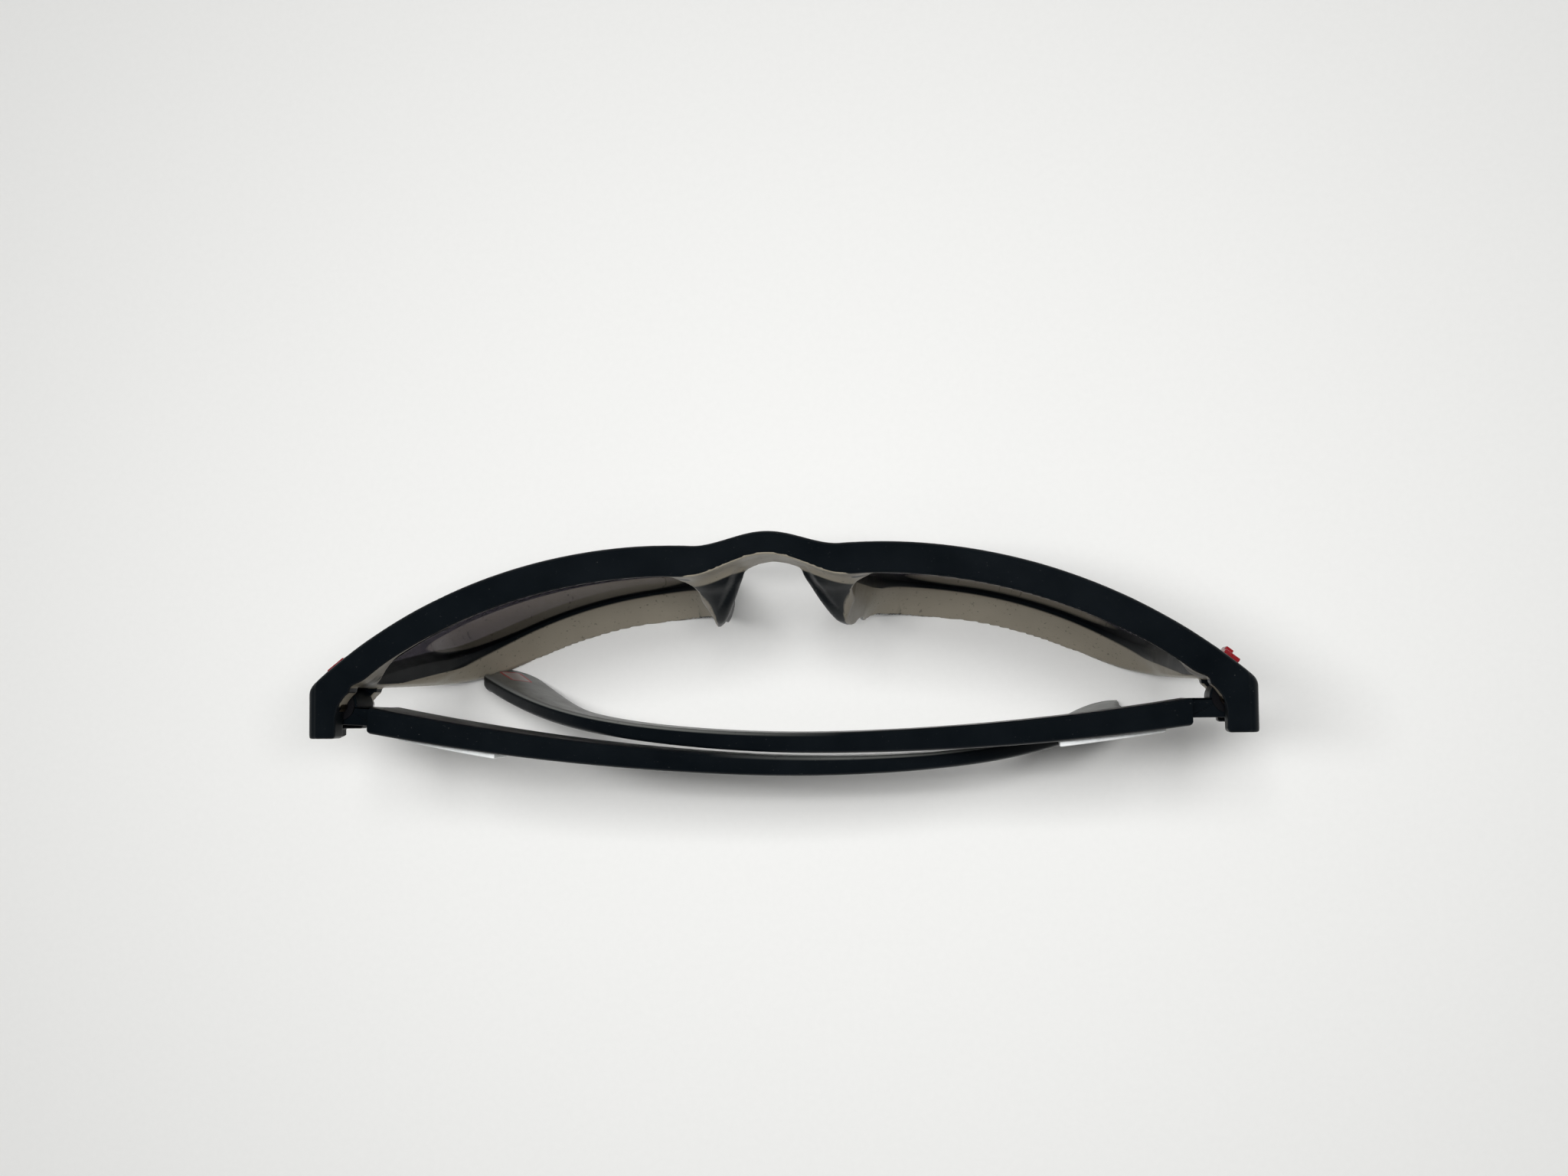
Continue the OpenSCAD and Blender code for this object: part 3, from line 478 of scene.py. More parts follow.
def front_distance(tables, edge, blend):
    """The front as one distance: outline, face and back meet with rounded edges, the end pieces are
    joined and the pads blended on, and the openings, the ledges and the hinge slots are taken out."""

    def measure(x, y, z):
        x = np.abs(x)
        eye = tables["eye"](x, z)
        face = (front_y(x) - y) * steepness(front_y, x)
        end = meet(tables["plan"](x, y), END_LOW - z, ROUND["end"])
        body = join(rims_distance(x, y, z), end, ROUND["end_join"])
        behind = ease(y - front_y(x), *BACK_BAND)
        body = meet(meet(body, face, edge), tables["outline"](x, z), edge + (BACK_EDGE - edge) * behind)
        pad, across = pad_distance(tables["pad"], x, y, z)
        foot = ROUND["pad_join"]
        body = join(body, pad, foot + (blend - foot) * ease(across, *PAD_FOOT))
        body = meet(body, -eye, ROUND["eye"])
        body = meet(body, -ledge_distance(eye, x, y, z), ROUND["ledge"])
        return cut_hinge(body, x, y, z)

    return measure


def cell_points(grid, number, cells):
    """For each grid cell that the surface crosses, the mean of its crossed edges, in grid steps."""
    active = number >= 0
    where = np.argwhere(active)
    total = np.zeros((len(where), 3))
    hits = np.zeros(len(where))
    for c in CORNERS:
        for axis in range(3):
            if c[axis]:
                continue
            d = list(c)
            d[axis] = 1
            a = cell_corner(grid, c, cells)[active]
            b = cell_corner(grid, d, cells)[active]
            crossed = (a < 0) != (b < 0)
            share = np.where(crossed, a / np.where(crossed, a - b, 1), 0)
            point = np.tile(np.array(c, float), (len(where), 1))
            point[:, axis] = share
            total += point * crossed[:, None]
            hits += crossed
    return where + total / hits[:, None]


def cell_faces(inside, number):
    """For each grid edge that the surface crosses, the four-sided face between its four cells."""
    quads = []
    for axis in range(3):
        one, two = (axis + 1) % 3, (axis + 2) % 3
        first = np.moveaxis(inside, (axis, one, two), (0, 1, 2))
        cell = np.moveaxis(number, (axis, one, two), (0, 1, 2))
        change = first[:-1, 1:-1, 1:-1] != first[1:, 1:-1, 1:-1]
        i, j, k = np.nonzero(change)
        faces = np.stack([cell[i, j, k], cell[i, j + 1, k], cell[i, j + 1, k + 1], cell[i, j, k + 1]], 1)
        turned = first[i, j + 1, k + 1]
        faces[~turned] = faces[~turned][:, ::-1]
        quads.append(faces)
    return np.concatenate(quads)


def cell_corner(values, corner, cells):
    """The values at one corner of every cell."""
    i, j, k = corner
    return values[i:i + cells[0], j:j + cells[1], k:k + cells[2]]


def settle(measure, points, step):
    """Points drawn onto the surface along the steepest way, in a few moves of half a step at most."""
    for _ in range(SETTLE_ROUNDS):
        value = measure(*points.T)
        slope = gradient(measure, points, SETTLE_STEP)
        size = np.maximum((slope * slope).sum(1), LEAST_SLOPE)
        move = -(value / size)[:, None] * slope
        far = np.linalg.norm(move, axis=1)
        points = points + move * np.minimum(1, 0.5 * step / np.maximum(far, 1e-9))[:, None]
    return points


def field_mesh(measure, low, high, step):
    """Mesh of the surface where a distance is nothing, a point for each cell of a grid that it crosses. A
    surface with openings, slots and blends in one moulding has no two parameters of its own, so it is
    found this way, in whole arrays."""
    axes = [a + step * np.arange(int(math.ceil((b - a) / step)) + 1) for a, b in zip(low, high)]
    grid = measure(axes[0][:, None, None], axes[1][None, :, None], axes[2][None, None, :])
    inside = grid < 0
    cells = tuple(n - 1 for n in grid.shape)
    count = sum(cell_corner(inside, c, cells).astype(np.int8) for c in CORNERS)
    active = (count > 0) & (count < 8)
    number = np.full(cells, -1, int)
    number[active] = np.arange(active.sum())
    points = np.array(low) + step * cell_points(grid, number, cells)
    return settle(measure, points, step), cell_faces(inside, number)


def gradient(measure, points, h):
    """Slope of a distance at points, from the difference across h each way."""
    x, y, z = points.T
    return np.stack([
        measure(x + h, y, z) - measure(x - h, y, z),
        measure(x, y + h, z) - measure(x, y - h, z),
        measure(x, y, z + h) - measure(x, y, z - h),
    ], 1) / (2 * h)


# Meshes


def grid_faces(rows, columns, wrap):
    """Four-sided faces between the points of a grid, closed round its columns if asked."""
    i, j = np.meshgrid(np.arange(rows - 1), np.arange(columns if wrap else columns - 1), indexing="ij")
    k = (j + 1) % columns
    near, far = i * columns, (i + 1) * columns
    return np.stack([near + j, near + k, far + k, far + j], -1).reshape(-1, 4)


def fan(columns, first, pole, turned):
    """Three-sided faces from a row of points, closed round, to a pole."""
    j = first + np.arange(columns)
    k = np.roll(j, -1)
    return np.stack([k, j, np.full(columns, pole)] if turned else [j, k, np.full(columns, pole)], 1)


def outward(points, faces):
    """Faces of a closed shell turned so that the volume they enclose counts as positive."""
    volume = 0.0
    for group in faces:
        a = points[group[:, 0]]
        for k in range(1, group.shape[1] - 1):
            b, c = points[group[:, k]], points[group[:, k + 1]]
            volume += (a * np.cross(b, c)).sum()
    return faces if volume > 0 else [group[:, ::-1] for group in faces]


def shells(*parts):
    """Several closed shells, each turned outwards, as one list of points and faces."""
    points, faces, start = [], [], 0
    for p, f in parts:
        points.append(p)
        faces.extend(group + start for group in outward(p, f))
        start += len(p)
    return np.concatenate(points), faces


def make_object(name, points, faces):
    """An object at the origin whose mesh holds the points, in the row frame and in metres."""
    placed = (points - (0, MIDDLE_Y, 0)) * MM
    mesh = bpy.data.meshes.new(name)
    mesh.vertices.add(len(placed))
    mesh.vertices.foreach_set("co", placed.ravel().astype(np.float32))
    corners = np.concatenate([group.ravel() for group in faces])
    sides = np.concatenate([np.full(len(group), group.shape[1]) for group in faces])
    mesh.loops.add(len(corners))
    mesh.loops.foreach_set("vertex_index", corners.astype(np.int32))
    mesh.polygons.add(len(sides))
    mesh.polygons.foreach_set("loop_start", (np.cumsum(sides) - sides).astype(np.int32))
    mesh.update(calc_edges=True)
    mesh.validate()
    mesh.shade_smooth()
    obj = bpy.data.objects.new(name, mesh)
    bpy.context.scene.collection.objects.link(obj)
    return obj


def add_attribute(obj, name, values):
    """A number or a vector for each point of the mesh, for its material."""
    kind = "FLOAT" if values.ndim == 1 else "FLOAT_VECTOR"
    layer = obj.data.attributes.new(name, kind, "POINT")
    layer.data.foreach_set("value" if kind == "FLOAT" else "vector", values.ravel().astype(np.float32))


def thin_out(obj, share):
    """The object's mesh with fewer faces where it is flat, applied."""
    modifier = obj.modifiers.new("thin", "DECIMATE")
    modifier.ratio = share
    graph = bpy.context.evaluated_depsgraph_get()
    mesh = bpy.data.meshes.new_from_object(obj.evaluated_get(graph))
    obj.modifiers.clear()
    old = obj.data
    obj.data = mesh
    bpy.data.meshes.remove(old)
    mesh.name = obj.name


def mesh_points(obj):
    """The mesh's points back in millimetres from the front's foremost curve."""
    co = np.zeros(len(obj.data.vertices) * 3, np.float32)
    obj.data.vertices.foreach_get("co", co)
    return co.reshape(-1, 3).astype(float) / MM + (0, MIDDLE_Y, 0)


def set_piece(obj, body, nodes, material):
    """The piece rides on its body, stands for its nodes and takes its finish."""
    obj.data.materials.clear()
    obj.data.materials.append(material)
    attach(obj, body)
    if nodes:
        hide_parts(*nodes)


# Pieces


def mirror_half(points, quads):
    """Both halves from a mesh of one that reaches a little past the middle: points past it are drawn onto
    it, faces that lie in it are dropped, and the rest is joined with its own mirror image."""
    left = points[:, 0] >= 0
    keep = left[quads].any(1)
    points[~left, 0] = 0.0
    quads = quads[keep]
    flat = (points[quads][:, :, 0] == 0).all(1)
    quads = quads[~flat]
    used = np.unique(quads)
    renumber = np.full(len(points), -1)
    renumber[used] = np.arange(len(used))
    points, quads = points[used], renumber[quads]
    middle = points[:, 0] == 0
    mirror = np.arange(len(points))
    mirror[~middle] = len(points) + np.arange((~middle).sum())
    both = np.concatenate([points, points[~middle] * (-1, 1, 1)])
    return both, np.concatenate([quads, mirror[quads][:, ::-1]])


def lining_and_sheen_shares(points, normals):
    """Where the front's paler colour lies, as two signed numbers a point, positive on it. The colour is
    partly the moulding's own two-tone and partly a painted reflection of the pale room, placed by the way
    each face turns. The first is what faces back, without the end pieces, the brow's top edge and the pads'
    nose sides. The second is what looks into an opening, without the same places."""
    x, y, z = points.T
    side = np.abs(x)
    facing_out = normals[:, 0] * np.sign(x)
    reach = np.maximum(np.hypot(side - EYE_MID, z - EYE_MID_Z), 1)
    toward = -(facing_out * (side - EYE_MID) + normals[:, 2] * (z - EYE_MID_Z)) / reach
    past = y - back_y(side)
    nose = np.minimum(np.minimum(LINING_SHEEN_NOSE_X - side, past - LINING_SHEEN_NOSE_DEPTH), LINING_SHEEN_NOSE_Z - z)
    ends = np.minimum(np.minimum(side - LINING_SHEEN_END_X, past - LINING_SHEEN_END_DEPTH), z - LINING_SHEEN_END_Z)
    low = np.maximum(LINING_SHEEN_BRIDGE_X - side, LINING_SHEEN_BROW_Z - z) / LINING_SHEEN_FADE
    # Faces that turn up keep the dark shell; the paler colour, partly painted reflection, goes on faces that
    # look back and into the openings
    top_edge = np.maximum(FACING_UP - normals[:, 2], low)
    rear = np.minimum(np.minimum(normals[:, 1] - FACING_BACK, -ends), top_edge)
    open_side = np.maximum(-nose / LINING_SHEEN_FADE, facing_out - FACING_BACK)
    inner = np.minimum(toward - FACING_IN, (LINING_SHEEN_INNER_Z - z) / INNER_FADE)
    inner = np.minimum(inner, np.minimum(open_side, -ends))
    return np.clip(np.minimum(rear, open_side), -1, 1), np.clip(inner, -1, 1)


def make_front(sizes):
    """The front frame with its pads and end pieces: its surface, thinned, with the distance's own slope as
    its normals, and as two attributes where its paler colour goes, partly its own two-tone and partly
    painted reflection."""
    measure = front_distance(front_tables(), sizes.edge_round / MM, sizes.pad_blend / MM)
    step = sizes.front_cell / MM
    low = (-2.5 * step, -BRIDGE_OUT - GRID_AHEAD, -GRID_UNDER)
    high = (HALF_W + GRID_PAST, END_BACK + GRID_PAST, FRONT_H + GRID_PAST)
    both, faces = mirror_half(*field_mesh(measure, low, high, step))
    front = make_object("front_shell", both, outward(both, [faces]))
    thin_out(front, sizes.front_keep)
    points = mesh_points(front)
    slope = gradient(measure, points, NORMAL_STEP)
    normals = slope / np.maximum(np.linalg.norm(slope, axis=1), 1e-9)[:, None]
    front.data.normals_split_custom_set_from_vertices(normals.astype(np.float32))
    # Shares of the paler colour, partly the moulding's own and partly painted reflection, set by the way
    # each face turns
    lining_and_sheen, inner = lining_and_sheen_shares(points, normals)
    add_attribute(front, "inner", inner)
    add_attribute(front, "lining_and_sheen", lining_and_sheen)
    return front


def arm_stations(cap, hinge_round):
    """Places along an arm's path: close at the rounded butt, even along the arm, close round its tip."""
    return np.concatenate([
        ARM_START + hinge_round * (1 - np.cos(QUARTER)),
        np.arange(ARM_START + hinge_round + 1.0, PATH_LEN - cap, ARM_STEP),
        PATH_LEN - cap + cap * np.sin(np.linspace(0, math.pi / 2, 26)[:-1]),
        [PATH_LEN - 0.0005],
    ])


def arm_grid(hinge_round, tip_round):
    """An arm as a rounded section carried along its path. Two parameters: l along the path, and round the
    section, up the outer face and down the inner one. At distance d in from the side's outline the half
    thickness is the full one less r, plus the root of r squared less (r less d) squared. The lower edge
    leans in near the tip. With it comes where each point lies: along, up, and how far it faces out."""
    cap = arm_height(PATH_LEN - CAP_BACK) / 2
    l = arm_stations(cap, hinge_round)
    past = np.maximum(l - (PATH_LEN - cap), 0)
    half = np.where(past > 0, np.sqrt(np.maximum(cap**2 - past**2, 1e-5)), arm_height(l) / 2)
    r = hinge_round + (tip_round - hinge_round) * ease(l, *ROUND_BAND)
    edge = (1 - np.cos(QUARTER))[None, :] * np.minimum(r, half)[:, None] / half[:, None]
    inner = 1 - np.minimum(r, half)[:, None] / half[:, None]
    b = np.concatenate([-1 + edge, inner * np.linspace(-1, 1, 12)[None, 1:-1], 1 - edge[:, ::-1]], 1)
    along, up, turn = arm_path(l)
    ca, sa = math.cos(TEMPLE_SLOPE), math.sin(TEMPLE_SLOPE)
    centre_s, centre_z = along * ca + up * sa, HINGE_Z - along * sa + up * ca
    square = 1 - ease(l, ARM_START, ARM_START + SQUARE_LEN)
    lean = (TEMPLE_SLOPE + turn) * (1 - square)
    reach = half / np.cos((TEMPLE_SLOPE + turn) - lean)
    s = centre_s[:, None] + b * (reach * np.sin(lean))[:, None]
    z = centre_z[:, None] + b * (reach * np.cos(lean))[:, None]
    radius = half.copy()
    radius[past > 0] = cap
    d = radius[:, None] - np.hypot(past[:, None], b * half[:, None])
    d = np.minimum(d, s - BUTT)
    rr = r[:, None]
    thick = thickness(s) / 2
    wide = thick - rr + np.sqrt(np.maximum(rr**2 - np.maximum(rr - np.maximum(d, 0), 0) ** 2, 0))
    top_s, top_z = s[:, -1], z[:, -1]
    below = np.maximum(np.interp(s, top_s, top_z) - z, 0)
    middle = outer_t(s) - thick - TIP_LEAN * below * ease(s, *LEAN_BAND)
    outer, back = middle + wide, middle - wide
    z = np.maximum(z, 0.0)
    loop_s = np.concatenate([s, s[:, ::-1]], 1)
    loop_t = np.concatenate([outer, back[:, ::-1]], 1)
    loop_z = np.concatenate([z, z[:, ::-1]], 1)
    lay_u = np.repeat(l[:, None], loop_s.shape[1], 1)
    lay_v = np.concatenate([b, b[:, ::-1]], 1) * half[:, None]
    facing = np.concatenate([wide, -wide[:, ::-1]], 1) / np.concatenate([thick, thick[:, ::-1]], 1)
    rows, columns = loop_s.shape
    points = np.stack([loop_s, loop_t, loop_z], -1).reshape(-1, 3)
    faces = [grid_faces(rows, columns, True)]
    for row in (0, rows - 1):
        j = np.arange(columns // 2 - 1)
        first = row * columns + j
        last = (row + 1) * columns - 1 - j
        faces.append(np.stack([first, first + 1, last - 1, last], 1))
    faces[1] = faces[1][:, ::-1]
    lay = np.stack([lay_u, lay_v, facing], -1).reshape(-1, 3)
    return points, faces, lay


def rounded_column(outline, low, high, r):
    """A closed outline carried upright, drawn in along its own normals near both ends so that the edges
    are rounded to r."""
    before, after = np.roll(outline, 1, axis=0), np.roll(outline, -1, axis=0)
    side = after - before
    normal = np.stack([side[:, 1], -side[:, 0]], 1)
    normal /= np.maximum(np.linalg.norm(normal, axis=1), 1e-9)[:, None]
    turn = np.linspace(0, math.pi / 2, 6)
    inset = np.concatenate([r * (1 - np.sin(turn)), r * (1 - np.cos(turn))])
    height = np.concatenate([low + r * (1 - np.cos(turn)), high - r + r * np.sin(turn)])
    flat = outline[None] - normal[None] * inset[:, None, None]
    rows, columns = flat.shape[:2]
    up = np.repeat(height[:, None], columns, 1)
    points = np.concatenate([flat, up[..., None]], -1).reshape(-1, 3)
    middle = np.array([[*outline.mean(0), low], [*outline.mean(0), high]])
    points = np.concatenate([points, middle])
    end = rows * columns
    lid, base = fan(columns, end - columns, end + 1, False), fan(columns, 0, end, True)
    return points, [grid_faces(rows, columns, True), lid, base]


def tenon_outline():
    """Plan of an arm's hinge tenon: the barrel's circle and the block that leads to the arm."""
    low = AXIS_IN - TEMPLE_T + HINGE_GAP
    turn = np.linspace(math.asin(low / BARREL_R), -1.5 * math.pi, 44)
    circle = BARREL_R * np.stack([np.cos(turn), np.sin(turn)], 1)
    s = np.linspace(0, BUTT + TENON_INTO, 12)
    outer = np.stack([s, np.full(12, TENON_OUT)], 1)
    inner = np.stack([s[::-1], np.full(12, low)], 1)
    inner = inner[inner[:, 0] > BARREL_R + TENON_CLEAR]
    return np.concatenate([circle, outer, inner])[::-1]


def place_arm(points, side, fold):
    """From along an arm, outwards and up to the front's own directions, folded at its hinge."""
    s, t, z = points.T
    x = AXIS_X - s * math.cos(fold) + t * math.sin(fold)
    y = AXIS_Y + s * math.sin(fold) + t * math.cos(fold)
    return np.stack([side * x, y, z], 1)


def make_arm(name, side, fold, sizes):
    """One arm with its tenon and barrel, with where each point lies along and across it."""
    arm, faces, lay = arm_grid(sizes.arm_round / MM, sizes.tip_round / MM)
    tenon, tenon_faces = rounded_column(tenon_outline(), TENON_LOW, TENON_TOP, TENON_ROUND)
    points, all_faces = shells(
        (place_arm(arm, side, fold), faces), (place_arm(tenon, side, fold), tenon_faces))
    obj = make_object(name, points, all_faces)
    add_attribute(obj, "lay", np.concatenate([lay, np.zeros((len(tenon), 3))]))
    return obj


def lens_surface(x, z, r_tall, inset):
    """Depth of one face of a lens: an upright arc turned about the front's centre."""
    out = FACE_R - inset - r_tall + np.sqrt(r_tall**2 - (z - EYE_MID_Z) ** 2)
    return FACE_R - np.sqrt(out**2 - (x - CROWN_X) ** 2)


def make_lens(name, side, seat):
    """A lens from two parameters, the share of the way from its centre to its outline and the place
    round that outline, on two curved faces joined by a narrow edge."""
    outline = ring(EYE_CIRCLES, seat, 20)
    step = np.linalg.norm(np.roll(outline, -1, axis=0) - outline, axis=1)
    at = np.concatenate([[0], np.cumsum(step)])
    even = np.linspace(0, at[-1], 240, endpoint=False)
    closed = np.concatenate([outline, outline[:1]])
    outline = np.stack([np.interp(even, at, closed[:, i]) for i in (0, 1)], 1)
    centre = np.array([EYE_MID, EYE_MID_Z])
    share = np.linspace(0, 1, 31)[1:]
    flat = centre + share[:, None, None] * (outline - centre)[None]
    x, z = flat[..., 0], flat[..., 1]
    front, back = (np.stack([x, lens_surface(x, z, *face), z], -1) for face in LENS_FACES)
    rows, columns = x.shape
    grid = np.concatenate([front, back[::-1]]).reshape(-1, 3)
    poles = [[centre[0], float(lens_surface(*centre, *face)), centre[1]] for face in LENS_FACES]
    points = np.concatenate([grid, poles]) * (side, 1, 1)
    end = 2 * rows * columns
    fans = fan(columns, 0, end, True), fan(columns, end - columns, end + 1, False)
    faces = outward(points, [grid_faces(2 * rows, columns, True), *fans])
    return make_object(name, points, faces)


def make_badge(name, side, fold, r):
    """A plate on an arm's outer face: two parameters along and up it, standing proud by a height that
    rises along the plate and is rounded off near its outline."""
    turn = np.linspace(0, math.pi / 2, 6)
    near = r * (1 - np.cos(turn))
    s = np.concatenate([near, np.linspace(r, BADGE_LEN - r, 26)[1:-1], BADGE_LEN - near[::-1]])
    v = np.concatenate([near, np.linspace(r, BADGE_H - r, 12)[1:-1], BADGE_H - near[::-1]])
    along, up = np.meshgrid(s, v, indexing="ij")
    d = np.minimum(np.minimum(along, BADGE_LEN - along), np.minimum(up, BADGE_H - up))
    proud = BADGE_PROUD + (BADGE_PROUD_FAR - BADGE_PROUD) * along / BADGE_LEN
    drop = r - np.sqrt(np.maximum(r * r - np.maximum(r - d, 0) ** 2, 0))
    place = BADGE_FROM + along
    base = HINGE_Z - (BADGE_FROM + BADGE_LEN / 2) * math.tan(TEMPLE_SLOPE) - BADGE_H / 2
    top = np.stack([place, outer_t(place) + proud - drop, base + up], -1)
    under = np.stack([place, outer_t(place) - BADGE_SEAT, base + up], -1)
    rows, columns = along.shape
    points = np.concatenate([top.reshape(-1, 3), under.reshape(-1, 3)])
    face = grid_faces(rows, columns, False)
    size = rows * columns
    index = np.arange(size).reshape(rows, columns)
    rim = np.concatenate([index[0, :-1], index[:-1, -1], index[-1, :0:-1], index[:0:-1, 0]])
    after = np.roll(rim, -1)
    wall = np.stack([rim, after, after + size, rim + size], 1)
    points = place_arm(points, side, fold)
    faces = [face, face[:, ::-1] + size, wall[:, ::-1]]
    return make_object(name, points, outward(points, faces))


def rounded_block(low, high, r):
    """A block with rounded edges: the points of a ball, each eighth pushed out to its own corner."""
    turn = np.linspace(0, math.pi / 2, 6)
    tilt = np.concatenate([turn - math.pi / 2, turn])
    round_ = np.concatenate([turn + q * math.pi / 2 for q in range(4)])
    sign_t = np.repeat([-1, 1], 6)
    sign_x = np.repeat([1, -1, -1, 1], 6)
    sign_y = np.repeat([1, 1, -1, -1], 6)
    centre, half = (np.array(low) + high) / 2, (np.array(high) - low) / 2 - r
    x = np.cos(tilt)[:, None] * np.cos(round_)[None] * r + sign_x[None] * half[0]
    y = np.cos(tilt)[:, None] * np.sin(round_)[None] * r + sign_y[None] * half[1]
    z = np.repeat((np.sin(tilt) * r + sign_t * half[2])[:, None], len(round_), 1)
    points = np.stack([x, y, z], -1).reshape(-1, 3) + centre
    rows, columns = x.shape
    faces = [grid_faces(rows, columns, True)]
    for row in (0, rows - 1):
        corners = row * columns + np.array([[0, 6, 12, 18]])
        faces.append(corners if row else corners[:, ::-1])
    return points, faces


def make_stud(name, side, r):
    """A low bar with a taller block on its outer half, on the corner of the front's face."""
    w, h = STUD_W / 2, STUD_H / 2
    bar = rounded_block((-w, -h, -STUD_SEAT), (w, h, STUD_OUT), r)
    block = rounded_block((-w, -h / 2, -STUD_BLOCK_SEAT), (0.0, h / 2, STUD_BLOCK_OUT), r)
    lean = math.asin((STUD_X - CROWN_X) / FACE_R)
    c, s = math.cos(lean), math.sin(lean)
    turn = np.array([[c, -s, 0], [s, c, 0], [0, 0, 1]])
    stand = np.array([[1, 0, 0], [0, 0, -1], [0, 1, 0]])
    foot = np.array([STUD_X, float(curve_y(STUD_X, FACE_R)), HINGE_Z])
    parts = []
    for points, faces in (bar, block):
        placed = points @ (turn @ stand).T + foot
        parts.append((placed * (side, 1, 1), faces))
    points, faces = shells(*parts)
    return make_object(name, points, faces)


# Finishes


def new_material(name, inputs):
    """A material whose tree holds one shader with its plain inputs, the tree, and that shader."""
    material = bpy.data.materials.new(name)
    material.use_nodes = True
    shader = find_shader(material.node_tree)
    for key, value in inputs.items():
        shader.inputs[key].default_value = value
    return material, material.node_tree, shader


def find_shader(tree):
    """The shader of a material's tree."""
    return next(n for n in tree.nodes if n.type == "BSDF_PRINCIPLED")


def add_node(tree, kind, inputs=(), **values):
    """A node with its settings and unlinked inputs."""
    made = tree.nodes.new(kind)
    for key, value in values.items():
        setattr(made, key, value)
    for key, value in dict(inputs).items():
        made.inputs[key].default_value = value
    return made


def feed(tree, socket, value):
    """A socket that takes another socket's value, or a plain number or colour of its own."""
    if isinstance(value, bpy.types.NodeSocket):
        tree.links.new(value, socket)
    else:
        socket.default_value = (*value, 1.0) if socket.type == "RGBA" else value


def object_place(tree):
    """The piece's own coordinates, as a vector."""
    return add_node(tree, "ShaderNodeTexCoord").outputs["Object"]


def parts_of(tree, vector):
    """The three numbers of a vector."""
    split = add_node(tree, "ShaderNodeSeparateXYZ")
    tree.links.new(vector, split.inputs[0])
    return split.outputs


def noise(tree, scale, detail=4.0, rough=0.6):
    """Noise on the piece's own coordinates, as a number from nothing to one."""
    made = add_node(tree, "ShaderNodeTexNoise", {"Scale": scale, "Detail": detail, "Roughness": rough})
    tree.links.new(object_place(tree), made.inputs["Vector"])
    return made.outputs["Fac"]


def spread(tree, value, low, high, from_low=0.3, from_high=0.7):
    """A number carried from one range to another."""
    made = add_node(tree, "ShaderNodeMapRange", {
        "From Min": from_low, "From Max": from_high, "To Min": low, "To Max": high})
    tree.links.new(value, made.inputs["Value"])
    return made.outputs["Result"]


def blend_colour(tree, share, first, second):
    """A colour between two, each a socket or a plain colour."""
    made = add_node(tree, "ShaderNodeMix", data_type="RGBA")
    tree.links.new(share, made.inputs["Factor"])
    feed(tree, made.inputs[6], first)
    feed(tree, made.inputs[7], second)
    return made.outputs[2]


def calculate(tree, operation, first, second=0.0):
    """A sum, product or comparison of two numbers."""
    made = add_node(tree, "ShaderNodeMath", operation=operation)
    feed(tree, made.inputs[0], first)
    feed(tree, made.inputs[1], second)
    return made.outputs[0]


def shaded(colour, factor):
    """A colour made darker or lighter."""
    return tuple(factor * c for c in colour)


def mottle(tree, scale, detail, colour, factor):
    """A colour that turns in soft patches to a darker or lighter one."""
    return blend_colour(tree, spread(tree, noise(tree, scale, detail), 0, 1), colour, shaded(colour, factor))


def add_bump(tree, shader, height, strength, distance):
    """Fine relief on a shader."""
    made = add_node(tree, "ShaderNodeBump", {"Strength": strength, "Distance": distance})
    tree.links.new(height, made.inputs["Height"])
    tree.links.new(made.outputs["Normal"], shader.inputs["Normal"])


def moulded(name, shell, lining_and_sheen, share):
    """Moulded nylon: a dark shell outside and, where the share says, a paler speckled colour, with fine
    grain, dull patches and a trace of dust. On the front that paler colour is partly the moulding's own
    two-tone and partly painted reflection of the pale room; on the arms it is painted reflection only."""
    material, tree, shader = new_material(name, {"Specular IOR Level": 0.13, "IOR": 1.5})
    patches = spread(tree, noise(tree, 90, 5), 0.0, 1.0)
    worn = blend_colour(tree, patches, shell, tuple(1.5 * c + 0.0015 for c in shell))
    # The paler colour: on the front partly its own two-tone and partly painted reflection, on the arms
    # painted reflection only
    inner = blend_colour(tree, patches, lining_and_sheen, shaded(lining_and_sheen, 0.86))
    specks = spread(tree, noise(tree, 1700, 2, 0.5), 0.0, 0.6, 0.64, 0.72)
    inner = blend_colour(tree, specks, inner, shaded(lining_and_sheen, 0.3))
    both = blend_colour(tree, share(tree), worn, inner)
    dust = spread(tree, noise(tree, 2600, 2, 0.7), 0.0, 0.16, 0.7, 0.78)
    both = blend_colour(tree, dust, both, (0.3, 0.3, 0.29))
    tree.links.new(both, shader.inputs["Base Color"])
    tree.links.new(spread(tree, noise(tree, 320), 0.3, 0.42), shader.inputs["Roughness"])
    add_bump(tree, shader, noise(tree, 4200, 3), 0.12, 0.00004)
    return material


